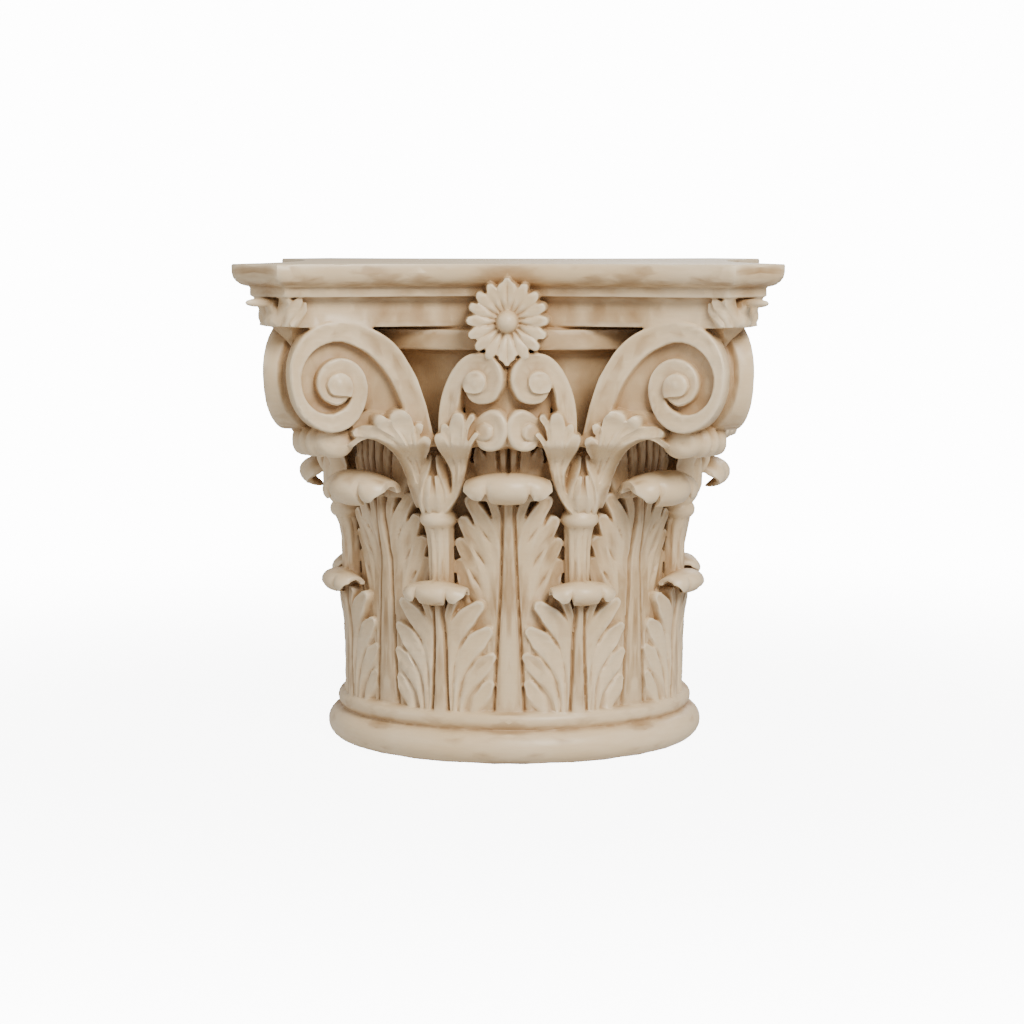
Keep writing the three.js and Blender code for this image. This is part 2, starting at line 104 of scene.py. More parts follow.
def spline(points, steps, closed=False):
    """Smooth curve through points (Catmull-Rom)."""
    p = np.asarray(points, float)
    n = len(p)
    out = []
    for i in range(n if closed else n - 1):
        if closed:
            a, b, c, d = p[(i - 1) % n], p[i], p[(i + 1) % n], p[(i + 2) % n]
        else:
            b, c = p[i], p[i + 1]
            a = p[i - 1] if i else 2 * b - c
            d = p[i + 2] if i + 2 < n else 2 * c - b
        for k in range(steps):
            t = k / steps
            out.append(0.5 * (2 * b + (c - a) * t + (2 * a - 5 * b + 4 * c - d) * t * t
                              + (3 * b - a - 3 * c + d) * t ** 3))
    if not closed:
        out.append(p[-1])
    return np.array(out)


def to_line(x, y, line):
    """Distance from points to an open line, and the share of its length at the nearest point."""
    best = np.full(x.shape, 1e9)
    along = np.zeros(x.shape)
    seg = np.hypot(*(line[1:] - line[:-1]).T)
    start = np.concatenate([[0], np.cumsum(seg)])
    total = start[-1]
    for i in range(len(line) - 1):
        ax, ay = line[i]
        dx, dy = line[i + 1] - line[i]
        t = np.clip(((x - ax) * dx + (y - ay) * dy) / max(dx * dx + dy * dy, 1e-9), 0, 1)
        d = np.hypot(x - ax - t * dx, y - ay - t * dy)
        near = d < best
        best = np.where(near, d, best)
        along = np.where(near, (start[i] + t * seg[i]) / total, along)
    return best, along


def depth_in(x, y, loop):
    """Distance inside a closed outline: positive inside, negative outside."""
    closed = np.vstack([loop, loop[:1]])
    best, _ = to_line(x, y, closed)
    odd = np.zeros(x.shape, bool)
    for i in range(len(loop)):
        (ax, ay), (bx, by) = closed[i], closed[i + 1]
        cross = (ay > y) != (by > y)
        with np.errstate(divide="ignore", invalid="ignore"):
            hit = x < ax + (y - ay) * (bx - ax) / (by - ay if by != ay else 1e-12)
        odd ^= cross & hit
    return np.where(odd, best, -best)


# Closed shells, fused into one skin at the end
shells = []


def add_shell(points, faces):
    shells.append((np.asarray(points, float).reshape(-1, 3), faces))


def bands(rings, n):
    """Quads that join rings of n points one after the other, and the cap under the first ring."""
    faces = []
    for k in range(rings - 1):
        for i in range(n):
            j = (i + 1) % n
            faces.append((k * n + i, k * n + j, (k + 1) * n + j, (k + 1) * n + i))
    faces.append(tuple(range(n - 1, -1, -1)))
    return faces


def loft(rings):
    """Closed skin over rings of points, with a flat cap at each end."""
    rings = [np.asarray(r, float) for r in rings]
    n = len(rings[0])
    faces = bands(len(rings), n)
    faces.append(tuple((len(rings) - 1) * n + i for i in range(n)))
    add_shell(np.vstack(rings), faces)


def axes(x_from, x_to, z_from, z_to, step):
    """Even axes of a grid, and the two coordinates of its points."""
    x = np.arange(x_from, x_to, step)
    z = np.arange(z_from, z_to, step)
    return x, z, *np.meshgrid(x, z, indexing="ij")


def relief(u, v, height, place, back):
    """Closed slab with a carved front. u and v are grid axes, height the relief over them,
    place(u, v, h) gives points, and back is the level of its flat rear."""
    uu, vv = np.meshgrid(u, v, indexing="ij")
    level = np.maximum(height, back)
    front = place(uu, vv, level)
    rear = place(uu, vv, np.full(uu.shape, back))
    points = np.vstack([front.reshape(-1, 3), rear.reshape(-1, 3)])
    off = uu.size
    idx = np.arange(off).reshape(uu.shape)
    up = level > back + 0.01
    used = (up[:-1, :-1] | up[1:, :-1] | up[1:, 1:] | up[:-1, 1:]).ravel()
    corners = (idx[:-1, :-1], idx[1:, :-1], idx[1:, 1:], idx[:-1, 1:])
    a, b, c, d = [k.ravel()[used] for k in corners]
    faces = list(zip(a, b, c, d)) + list(zip(d + off, c + off, b + off, a + off))
    raised = up.ravel()
    for line in (idx[0, ::-1], idx[-1, :], idx[:, 0], idx[::-1, -1]):
        for p, q in zip(line[:-1], line[1:]):
            if raised[p] or raised[q]:
                faces.append((q, p, p + off, q + off))
    add_shell(points, [tuple(int(i) for i in f) for f in faces])


def slab(loop, place, front, back, edge, grain=3.5, squeeze=None, dish=None):
    """Closed slab over an outline: its front at a level with rounded edges, its walls going back.
    squeeze(points) gives how far the wall draws in at placed points, and dish(a, b, depth) how far
    the front lies above or below its level, at a depth inside its edge."""
    loop = np.asarray(loop, float)
    area = 0.5 * np.sum(loop[:, 0] * np.roll(loop[:, 1], -1) - loop[:, 1] * np.roll(loop[:, 0], -1))
    if area < 0:
        loop = loop[::-1]
    ahead = np.roll(loop, -1, 0) - np.roll(loop, 1, 0)
    ahead /= np.maximum(np.hypot(*ahead.T), 1e-9)[:, None]
    inward = np.stack([-ahead[:, 1], ahead[:, 0]], -1)
    wall_pitch = 8.0 if squeeze is None else 1.4
    steps = max(3, int((front - back) / wall_pitch))
    levels = list(np.linspace(back, front - edge * 1.5, steps))
    levels += [front - edge, front - edge * 0.5, front - edge * 0.15, front]
    inset = [0] * (steps + 1) + [0.13 * edge, 0.45 * edge, edge]
    n = len(loop)
    rings = []
    for level, draw in zip(levels, inset):
        pts = loop + inward * draw
        solid = place(pts[:, 0], pts[:, 1], np.full(n, level))
        if squeeze is not None:
            pts = pts + inward * squeeze(solid)[:, None]
            solid = place(pts[:, 0], pts[:, 1], np.full(n, level))
        rings.append(solid)
    points = list(np.vstack(rings))
    faces = bands(len(rings), n)
    last = loop + inward * edge
    if squeeze is not None:
        last = last + inward * squeeze(rings[-1])[:, None]
    lo, hi = last.min(0), last.max(0)
    gx, gy = np.meshgrid(np.arange(lo[0], hi[0], grain), np.arange(lo[1], hi[1], grain), indexing="ij")
    gx, gy = gx.ravel(), gy.ravel()
    deep = depth_in(gx, gy, last)
    keep = deep > grain * 0.35
    inner = np.stack([gx[keep], gy[keep]], -1)
    flat = np.vstack([last, inner])
    rise = np.zeros(len(flat))
    if dish is not None:
        rise[n:] = dish(inner[:, 0], inner[:, 1], deep[keep])
    placed = place(flat[:, 0], flat[:, 1], front + rise)
    edges = [(i, (i + 1) % n) for i in range(n)]
    spots = [Vector(p) for p in flat]
    verts, _, tris, source, _, _ = delaunay_2d_cdt(spots, edges, [list(range(n))], 1, 1e-5)
    base = (len(rings) - 1) * n
    spot = {}
    for k, origin in enumerate(source):
        if not origin:
            q = np.array(verts[k])
            spot[k] = len(points)
            points.append(place(q[0:1], q[1:2], np.array([front]))[0])
        elif origin[0] < n:
            spot[k] = base + origin[0]
        else:
            spot[k] = len(points)
            points.append(placed[origin[0]])
    faces += [tuple(spot[i] for i in tri) for tri in tris]
    add_shell(np.array(points), faces)


def ball(centre, radii, frame_axes=np.eye(3), rows=10, sides=16):
    """Closed egg shape."""
    rings = []
    for k in range(1, rows):
        v = pi * k / rows
        ring = []
        for i in range(sides):
            u = 2 * pi * i / sides
            p = np.array([radii[0] * sin(v) * cos(u), radii[1] * sin(v) * sin(u), radii[2] * cos(v)])
            ring.append(np.asarray(centre, float) + p @ np.asarray(frame_axes, float))
        rings.append(ring)
    loft(rings)


# Carving tools: each works on a height over a grid

WALL_SLOPE = 22


def strand(x, z, points, widths, top, dish, edge, floor=None, crown=0.0):
    """Relief of one finger of a leaf with its rib, from its root to its tip. dish hollows it towards
    the tip, crown rounds it towards the root, and floor is the width and drop of its skirt."""
    d, t = to_line(x, z, spline(points, 7))
    w = np.interp(t, *widths)
    e = w - d
    over = np.clip(e, 0, edge)
    h = top - dish * smooth(0.35, 0.75, t) * (1 - np.clip(d / w, 0, 1) ** 2)
    h = h - crown * (1 - smooth(0.45, 0.8, t)) * np.clip(d / w, 0, 1) ** 2
    h = h - (edge - np.sqrt(np.maximum(edge ** 2 - (edge - over) ** 2, 0)))
    h = np.where(e > 0, h, h + WALL_SLOPE * e)
    if floor is not None:
        width, drop = floor
        e = e + width * (1 - smooth(0.72, 0.97, t))
        h = np.maximum(h, top - drop + WALL_SLOPE * np.minimum(e, 0))
    return h


def fingers(x, z, level, rows, face=0.0, **shape):
    """Fingers on a face over a level. A row holds a finger's points, widths and lift."""
    h = np.full(x.shape, level)
    for points, widths, lift in rows:
        h = np.maximum(h, strand(x, z, points, widths, face + lift, **shape))
    return h


def drill(h, x, z, spot, direction, length, width, deep):
    """Teardrop slit sunk between two fingers."""
    a = radians(direction)
    p = (x - spot[0]) * cos(a) + (z - spot[1]) * sin(a)
    q = -(x - spot[0]) * sin(a) + (z - spot[1]) * cos(a)
    return h - deep * np.exp(-(p / length) ** 2 - (q / width) ** 2)


def curled(h, x, z, level, heads):
    """Rounded heads on fingers that bend over, where the relief stands above a level."""
    for spot, size, lift in heads:
        d = np.hypot(x - spot[0], z - spot[1]) / size
        h = np.where(h > level, h + lift * np.exp(-d ** 2 * 1.2), h)
    return h


def scored(h, x, z, level, ribs, pairs, deep=1.7, width=0.85):
    """Grooves along the lines midway between pairs of ribs, fading out towards their tips."""
    for i, j in pairs:
        first, second = ribs[i][0], ribs[j][0]
        n = min(len(first), len(second))
        d, t = to_line(x, z, spline((np.array(first[:n]) + np.array(second[:n])) / 2, 6))
        groove = deep * np.exp(-(d / width) ** 2) * smooth(1.0, 0.75, t)
        h = np.where(h > level, h - groove, h)
    return h


# Turned body

def arc(cr, cz, r, start, end, steps):
    """Points of an arc in the profile plane."""
    angles = [radians(start + (end - start) * k / steps) for k in range(steps + 1)]
    return [(cr + r * cos(a), cz + r * sin(a)) for a in angles]


def turned_body():
    half = TORUS_TOP / 2
    ring = (NECK_TOP - TORUS_TOP) / 2
    under_top = HEIGHT - 6
    profile = [(TORUS_REACH - half - 2, 0.0)]
    profile += arc(TORUS_REACH - half, half, half, -88, 84, 20)
    profile += [(NECK_REACH - ring - 1.5, TORUS_TOP)]
    profile += arc(NECK_REACH - ring, TORUS_TOP + ring, ring, -80, 88, 12)
    profile += [(BELL_FOOT + 6, NECK_TOP + 0.2), (BELL_FOOT + 1.5, NECK_TOP + 2.5)]
    profile += [(float(bell(z)), z) for z in np.linspace(NECK_TOP + 7, LIP_FOOT - 3, 26)]
    profile += [(float(bell(LIP_FOOT)) + 2, LIP_FOOT - 0.5), (LIP_REACH - 3.6, LIP_FOOT),
                (LIP_REACH - 1.0, LIP_FOOT + 0.6), (LIP_REACH - 0.4, LIP_FOOT + 2.4),
                (LIP_REACH, LIP_FOOT + 10), (LIP_REACH - 0.6, FASCIA_FOOT - 2.4)]
    profile += [(140, FASCIA_FOOT - 1), (132, FASCIA_FOOT + 6), (130, under_top)]
    rings = []
    for azimuth in np.arange(-52, 7.1, 1.5):
        ring_points = [at(azimuth, r, z) for r, z in profile]
        rings.append(ring_points + [at(azimuth, 0.0, under_top), at(azimuth, 0.0, 0.0)])
    loft(rings)
    turns = np.linspace(0, 2 * pi, 24, endpoint=False)
    loft([[(CORE_REACH * cos(a), CORE_REACH * sin(a), z) for a in turns] for z in (0, HEIGHT)])


# Abacus

def abacus():
    def plan(set_back, narrow, z):
        half, reach = ABACUS_HALF - narrow, ABACUS_REACH - set_back

        def depth(across):
            return -(reach - ABACUS_HOLLOW * (1 - (across / half) ** 2))

        front = [(x, depth(x)) for x in np.linspace(20, -half, 40)]
        side = [(depth(y), y) for y in np.linspace(-half, -half + 45, 12)]
        inside = [(-60, -20), (20, 20)]
        return [(x, y, z) for x, y in front + side + inside]

    fascia = [(23.6, 8.0, FASCIA_FOOT), (23.0, 7.8, FASCIA_FOOT + 0.7), (24.2, 8.2, FILLET_FOOT - 4),
              (23.0, 7.8, FILLET_FOOT - 1), (21.0, 7.0, FILLET_FOOT)]
    fillet = [(13.4, 4.2, FILLET_FOOT), (12.8, 4.0, FILLET_FOOT + 0.6), (12.8, 4.0, OVOLO_FOOT - 0.7),
              (13.4, 4.2, OVOLO_FOOT), (14.5, 4.4, OVOLO_FOOT + 0.05)]
    round_height = HEIGHT - OVOLO_TOP_FLAT - OVOLO_FOOT
    ovolo = []
    for k in range(11):
        a = radians(9 * k)
        z = OVOLO_FOOT + 0.5 + (round_height - 0.5) * (1 - cos(a))
        ovolo.append((12.5 * (1 - sin(a)), 4 * (1 - sin(a)), z))
    arris = [(0, 0, HEIGHT - 1.4), (0.35, 0.1, HEIGHT - 0.5), (1.2, 0.4, HEIGHT)]
    loft([plan(*level) for level in fascia + fillet + ovolo + arris])


# Leaves on the bell

LEAF_FOOT = 36.0
LEAF_ROUND = 135.0
FAN_ROUND = 138.0
LEAF_BACK = -6.0
GROOVE_HALF = 1.4
GROOVE_DEPTH = 4.6
CORNER_LEAN = dict(reach=11.0, radius=2.0, top=-1.5)

# A row of strands holds a finger's points, its widths along its length, and its lift.
# A row of slits holds a place, a direction, a length, a width and a depth.
TALL = dict(
    top=208.0, wide=46.0,
    face=([36, 60, 150, 178, 215], [8.0, 8.7, 9.4, 14.6, 15.0]),
    rib=([36, 75, 130, 183], [10.6, 8.4, 5.0, 2.9]),
    strands=[
        ([(6.2, 30), (5.4, 110), (5.8, 160), (9, 186), (15, 203)], ([0, 0.6, 1], [1.5, 1.9, 3.8]), 0.5),
        ([(9.4, 30), (8.6, 100), (9.6, 142), (14, 168), (21, 184.5), (28.2, 195.5)],
         ([0, 0.5, 0.76, 0.9, 1], [1.9, 2.5, 6.0, 6.3, 4.6]), 0.5),
        ([(12.4, 30), (12, 92), (14, 126), (19, 149), (26, 166), (33.4, 180)],
         ([0, 0.48, 0.76, 0.9, 1], [1.9, 2.6, 6.2, 6.4, 4.8]), 0.3),
        ([(15.4, 30), (15.4, 84), (18.4, 112), (23.4, 133), (30, 150), (36.8, 163.5)],
         ([0, 0.45, 0.76, 0.9, 1], [1.9, 2.8, 6.2, 6.4, 4.8]), 0.1),
        ([(18.4, 30), (18.8, 76), (22.2, 98), (27.4, 117), (33.6, 134), (38.8, 147.5)],
         ([0, 0.45, 0.76, 0.9, 1], [1.9, 2.8, 6.2, 6.4, 4.8]), -0.1),
        ([(21.4, 30), (22.4, 66), (26, 86), (31, 102), (36, 117), (40, 130)],
         ([0, 0.45, 0.76, 0.9, 1], [1.9, 2.8, 5.8, 5.8, 4.2]), -0.3),
    ],
    slits=[((18.0, 171.0), 56, 7.0, 0.8, 3.4), ((22.4, 153.4), 56, 7.0, 0.8, 3.6),
           ((26.6, 137.0), 56, 7.0, 0.8, 3.6), ((30.0, 120.5), 56, 6.0, 0.8, 3.2)],
    hood=dict(radius=15.0, flat=0.77, reach=167.5, top=218.6, half=31.5, sheet=8.4),
)

LOW = dict(
    top=128.0, wide=49.0,
    face=([36, 60, 92, 112, 130], [12.0, 12.2, 12.8, 15.6, 17.0]),
    rib=([36, 60, 110], [5.4, 4.2, 2.2]),
    strands=[
        ([(4.8, 30), (4.4, 80), (6.2, 104), (11, 120)], ([0, 0.6, 1], [1.4, 1.8, 3.4]), 0.5),
        ([(7.8, 30), (7.6, 64), (10, 86), (16, 101.5), (23.5, 111), (30.4, 117.5)],
         ([0, 0.42, 0.72, 0.88, 1], [1.9, 2.8, 7.2, 7.4, 4.4]), 0.5),
        ([(11.4, 30), (12.4, 54), (16, 70), (22.4, 83), (30, 92), (36.6, 98)],
         ([0, 0.40, 0.72, 0.88, 1], [1.9, 3.0, 7.5, 7.6, 4.6]), 0.3),
        ([(15.6, 30), (17.4, 45), (21.4, 56), (27.4, 66), (33.5, 73), (39.4, 79)],
         ([0, 0.35, 0.68, 0.86, 1], [2.0, 3.2, 7.0, 6.8, 3.8]), 0.1),
        ([(23, 26), (25.5, 35), (29, 44), (33.4, 51.5), (38, 58.5)],
         ([0, 0.3, 0.6, 0.86, 1], [2.2, 4.0, 6.2, 6.2, 3.8]), -0.1),
    ],
    slits=[((17.6, 90.0), 60, 6.5, 0.9, 3.8), ((24.6, 73.0), 58, 6.5, 0.9, 3.8),
           ((29.6, 56.0), 58, 6.0, 0.9, 3.6)],
    hood=dict(radius=11.5, flat=0.76, reach=155.0, top=136.4, half=24.5, sheet=5.6),
)


def on_bell(azimuth, radius):
    """Function that lays width, height and thickness on the bell around an azimuth."""
    def place(u, v, k):
        return at(azimuth + np.degrees(u / radius), bell(v) + k, v)
    return place


def leaf(azimuth, spec):
    x, z, X, Z = axes(-spec["wide"], spec["wide"] + 0.1, LEAF_FOOT - 4, spec["top"], GRID)
    A = np.abs(X)
    face = np.interp(Z, *spec["face"]) - 0.0011 * A ** 2
    h = fingers(A, Z, -8.0, spec["strands"], face, dish=1.6, edge=1.5, floor=(1.6, 3.2), crown=2.2)
    for slit in spec["slits"]:
        h = drill(h, A, Z, *slit)
    m = np.interp(Z, *spec["rib"])
    g = GROOVE_HALF
    rib = face + 0.9 - 0.9 * np.clip(A / m, 0, 1) ** 3
    groove = face - GROOVE_DEPTH * np.sin(pi * np.clip((A - m) / (2 * g), 0, 1)) ** 0.8
    h = np.where(A < m, rib, np.where(A < m + 2 * g, np.minimum(np.maximum(h, face - 1), groove), h))
    relief(x, z, h, on_bell(azimuth, LEAF_ROUND), LEAF_BACK)
    head = spec["hood"]
    if azimuth == CORNER:
        head = {name: size + CORNER_LEAN.get(name, 0) for name, size in head.items()}
    hood(azimuth, **head)


# Angle at which a hood's edge ends, over the share from its middle to its side
HOOD_ENDS = ([0, 0.16, 0.30, 0.40, 0.455, 0.48, 0.51, 0.58, 0.70, 0.80, 0.90, 1.0],
             [-104, -101, -88, -62, -32, -12, -20, -40, -42, -32, -12, 8])
HOOD_START = 176
HOOD_CREASE = 0.48


def hood(azimuth, radius, flat, reach, top, half, sheet):
    """Head of a leaf bending out and down, as a thick sheet with a lobed lower edge."""
    rings = []
    for u in np.linspace(-1, 1, 81):
        a = abs(u)
        r = radius * sqrt(1 - 0.42 * a ** 2.4)
        cz = top - flat * radius - 0.30 * flat * radius * a ** 2.2
        cr = reach - radius - 0.30 * radius * a ** 2
        end = np.interp(a, *HOOD_ENDS)
        turn = azimuth + degrees(half * u / (cr + 4))
        if a < HOOD_CREASE:
            lobe = 1.2 * cos(pi * a / (2 * HOOD_CREASE)) ** 2
        else:
            lobe = 1.2 * sin(pi * (a - HOOD_CREASE) / (1 - HOOD_CREASE)) ** 2
        outer, inner = [], []
        for t in np.linspace(0, 1, 30):
            deg = HOOD_START + (end - HOOD_START) * t
            crease = 2.4 * np.exp(-((a - HOOD_CREASE) / 0.05) ** 2) * smooth(60, 0, deg)
            crease += 1.2 * np.exp(-(a / 0.028) ** 2) * smooth(45, 80, deg)
            ro = r + lobe * smooth(90, 0, deg) - crease
            thin = sheet * (1 - 0.12 * t) * (1 - 0.25 * a)
            ri = ro - thin * sqrt(max(0.02, 1 - max(0, (t - 0.86) / 0.14) ** 2))
            ang = radians(deg)
            for radial, row in ((ro, outer), (ri, inner)):
                row.append(at(turn, cr + radial * cos(ang), cz + flat * radial * sin(ang)))
        rings.append(np.vstack([outer, inner[::-1]]))
    loft(rings)


# Leaf tips behind the hoods: a row holds points, widths and lift
FAN_OUTER = ([(20, 196), (25, 212), (29, 225)], ([0, 0.6, 0.85, 1], [4, 5, 4.4, 1.6]), 0.0)
FAN_MIDDLE = ([(2.6, 196), (3.6, 225), (4.6, 262)], ([0, 1], [2.0, 2.2]), 1.6)
FRONT_FAN = [
    FAN_OUTER,
    ([(13, 196), (18, 216), (22.5, 235.5)], ([0, 0.6, 0.85, 1], [4, 5, 4.6, 1.6]), 0.7),
    ([(8, 196), (11, 222), (13.5, 241)], ([0, 0.7, 0.88, 1], [2.6, 3.2, 3.4, 1.6]), 1.0),
    FAN_MIDDLE,
]
CORNER_FAN = [
    FAN_OUTER,
    ([(15, 196), (20, 220), (24, 258)], ([0, 0.7, 1], [3.4, 3.6, 2.2]), 0.4),
    ([(8, 196), (11.5, 228), (14, 266)], ([0, 1], [2.6, 2.6]), 0.6),
    FAN_MIDDLE,
]


def fan(azimuth, tips, top, drop):
    """Ribbed leaf tips standing on the bell behind a hood."""
    x, z, X, Z = axes(-38, 38.1, 196, top, COARSE_GRID)
    A = np.abs(X)
    face = np.interp(Z, [196, 225, 245, 275], [15.0, 17.5, 16.0, 10.0]) - 0.0022 * A ** 2
    h = fingers(A, Z, -8.0, tips, face, dish=1.4, edge=1.2, floor=(0.8, drop))
    relief(x, z, h, on_bell(azimuth, FAN_ROUND), LEAF_BACK)


# Stalk, ring and bud: a level holds a height, the radius of its middle, and its own radius

STALK_LEVELS = [(122, 131, 9.4), (136, 131, 9.6), (160, 131.5, 10.0), (170, 132.5, 10.8),
                (175, 134, 11.6), (178, 135, 11.0)]
BUD_LEVELS = [(186, 137, 8.5), (189, 138, 10.8), (193, 139.5, 12.6), (199, 141, 13.0), (206, 141.5, 12.0),
              (213, 141.5, 10.0), (219, 141, 7.4), (225, 140.5, 5.0), (230, 140, 3.0), (232, 140, 1.0)]
FLUTES = 10
BUD_MIDDLE = 141.0
BUD_BACK = 128.0


def stalk():
    out_dir = at(STALK, 1.0, 0.0)
    side_dir = np.array([-out_dir[1], out_dir[0], 0.0])

    def fluted(levels, cut):
        rings = []
        for z, centre, r in levels:
            middle = at(STALK, centre, z)
            ring = []
            for a in (2 * pi * i / 80 for i in range(80)):
                radial = r - cut * (1 - abs(sin(FLUTES * a / 2)) ** 0.5)
                ring.append(middle + out_dir * radial * cos(a) + side_dir * radial * sin(a))
            rings.append(ring)
        loft(rings)

    fluted(STALK_LEVELS, 2.4)
    half = 6.0
    turns = [radians(a) for a in range(-88, 89, 16)]
    fluted([(182 + half * sin(a), 136.0, 8.6 + half * 0.93 * cos(a)) for a in turns], 0.0)
    fluted(BUD_LEVELS, 0.8)
    ball(at(STALK, 135.0, 206.0), (12.0, 17.5, 19.0), [out_dir, side_dir, UP], rows=14, sides=28)


def bud_petals():
    """Two petals closing over the bud, with a slit between them."""
    x, z, X, Z = axes(-15, 15.1, 184, 234, GRID)
    A = np.abs(X)
    face = np.interp(Z, [184, 190, 200, 212, 222, 232], [146.0, 151.5, 156.5, 157.0, 154.0, 149.0])
    face = face - 0.055 * A ** 2
    petals = [
        ([(8.6, 186), (10.8, 196), (9.6, 208), (6.4, 219), (3.6, 228)],
         ([0, 0.5, 0.85, 1], [1.4, 2.4, 3.4, 2.4]), 1.6),
        ([(3.4, 184), (4.6, 194), (4.2, 204), (2.2, 214)], ([0, 0.6, 1], [1.6, 2.6, 1.4]), 0.0),
    ]
    h = fingers(A, Z, BUD_BACK, petals, face, dish=1.0, edge=1.2, floor=(0.8, 2.6), crown=1.0)
    h = drill(h, A, Z, (0.0, 208), 90, 7.0, 1.2, 4.0)
    forward = at(BUD_FACING, 1.0, 0.0)
    across = np.array([-forward[1], forward[0], 0.0])

    def place(u, v, k):
        return at(STALK, BUD_MIDDLE, v) + u[..., None] * across + (k - BUD_MIDDLE)[..., None] * forward

    relief(x, z, h, place, BUD_BACK)


# Scrolls: their outlines are read in a plane, across and up from the eye

def plane(origin, across, out, rise=1.0):
    """Function that lays plane coordinates and a level in front of the plane in space."""
    def place(a, b, h):
        a, b, h = np.broadcast_arrays(*[np.asarray(k, float) for k in (a, b, h)])
        return origin + a[..., None] * across + h[..., None] * out + b[..., None] * (UP * rise)
    return place


def facing(degrees_round):
    """Directions across and out of a scroll's plane, turned about the vertical."""
    a = radians(degrees_round)
    return np.array([cos(a), sin(a), 0]), np.array([sin(a), -cos(a), 0])


EYE = np.array([-122.1, -165.3, 283.7])
ACROSS, OUT = facing(22)
on_flat_scroll = plane(EYE, ACROSS, OUT)


def swell(a, b):
    """How far the scroll's face comes forward of its plane, towards its stem."""
    return 17.0 * smooth(10, 72, a) * smooth(-95, -45, b)


def on_scroll(a, b, h):
    return on_flat_scroll(a, b, h + swell(a, b))


def seen(points):
    """Outline points read in the scroll's plane, moved to where its forward face shows them."""
    p = np.asarray(points, float)
    d = swell(p[:, 0], p[:, 1])
    return np.stack([p[:, 0] - 0.3 * d, p[:, 1] + 0.1 * d], -1)


def channel(points):
    """Draws the rim in beside the corner, where the rims of the two scrolls meet."""
    q = np.abs(points[:, 0] - points[:, 1]) / sqrt(2)
    return 5.5 * (1 - smooth(2.4, 5.6, q))


SCROLL_OUTER = [
    (74, -48), (71, -33.8), (65.3, -11.7), (56.7, 9), (42.6, 28.5), (24, 40.2), (3, 45.2), (-14, 42.6),
    (-27, 33), (-34.4, 19.6), (-36, 4), (-31.6, -14.6), (-21, -28.6), (-6.4, -35.3), (8.4, -32.2),
    (18.6, -21), (22.9, -4.6), (19.6, 8), (12, 15.8), (2, 18.6), (-8.4, 15), (-14.8, 7), (-15.6, -3),
    (-10.6, -11.6), (-1.6, -15.9), (5, -13.6), (8.8, -9.8),
]
SCROLL_CREST = SCROLL_OUTER[:17]
SCROLL_INNER = [
    (9.8, -10.6), (7, -15.8), (2.2, -19.6), (-5.2, -22), (-15.8, -19.4), (-24, -11), (-27.6, 1.6),
    (-25.6, 13), (-18.6, 23), (-8.6, 28.8), (3, 30.1), (16, 25.2), (26.4, 18), (37.6, 5.2), (46.6, -12.4),
    (52.5, -30), (56, -48),
]
THIRD_TURN = [
    (9.2, -9.6), (10.8, -2.6), (8, 4.8), (0.8, 7.8), (-6, 5.2), (-8.5, -0.8), (-6.4, -6.4), (-0.8, -9),
    (4.4, -9),
]
FIELD_FOOT = [(22, -20), (30, -25.5), (54, -25.5), (70, -29)]
APRON = [(12, -38), (12, -26), (24, -20), (50, -22), (66, -30), (64, -44), (50, -44), (39, -37), (26, -34)]


def large_scroll():
    """Scroll under the corner, with its sunk field, the apron over the arched leaf, and its eye."""
    band = np.vstack([spline(SCROLL_OUTER, 8), spline(SCROLL_INNER, 8)])
    slab(seen(band), on_scroll, 0.0, -34.0, edge=1.5, grain=2.4, squeeze=channel,
         dish=lambda a, b, e: -1.1 * smooth(0.6, 4.0, e))
    field = np.vstack([spline(SCROLL_CREST, 8), FIELD_FOOT])
    slab(seen(field), on_scroll, -8.0, -64.0, edge=1.0, squeeze=channel)
    slab(APRON, on_scroll, -6.0, -40.0, edge=1.0)
    slab(spline(THIRD_TURN, 6, closed=True), on_scroll, 2.4, -6.0, edge=0.7, grain=2.0)
    ball(EYE - OUT * 1.2, (5.4, 5.4, 5.4))


HELIX_EYE = np.array([-22.6, -170.3, 284.7])
HELIX_ACROSS, HELIX_OUT = facing(-20)
on_helix = plane(HELIX_EYE, HELIX_ACROSS, HELIX_OUT)

HELIX_OUTER = [
    (-30.2, -48), (-29.9, -34.7), (-29.1, -20.1), (-25.9, -5.6), (-18.8, 9), (-9.4, 18.6), (1, 21.6),
    (12.4, 19), (19.4, 9.8), (20.1, -1), (14.4, -11.9), (4.6, -15.4), (-4.6, -12.6), (-9.6, -5),
]
HELIX_INNER = [(-10.4, -1), (-12.2, -8), (-14.4, -18), (-16, -30), (-17, -48)]
HELIX_SPIRAL = [
    (-8.2, -6), (-9.6, 0.6), (-5.6, 7), (1, 8.6), (6.6, 5.4), (8, -0.6), (5.4, -5.8), (0.4, -7.6),
    (-4.4, -7.4),
]
HELIX_WALL = [(-10, -46), (28, -46), (28, 8), (-4, 8), (-14, -10)]


def small_scroll():
    """Small scroll beside the middle of the face, with its eye and the wall behind it."""
    band = np.vstack([spline(HELIX_OUTER, 8), spline(HELIX_INNER, 6)])
    slab(band, on_helix, 0.0, -38.0, edge=1.4, grain=2.2, dish=lambda a, b, e: -1.0 * smooth(0.6, 3.6, e))
    slab(spline(HELIX_SPIRAL, 6, closed=True), on_helix, 2.2, -6.0, edge=0.7, grain=2.0)
    ball(HELIX_EYE - HELIX_OUT * 0.8, (4.4, 4.4, 4.4))
    slab(HELIX_WALL, on_helix, -11.0, -48.0, edge=1.0)


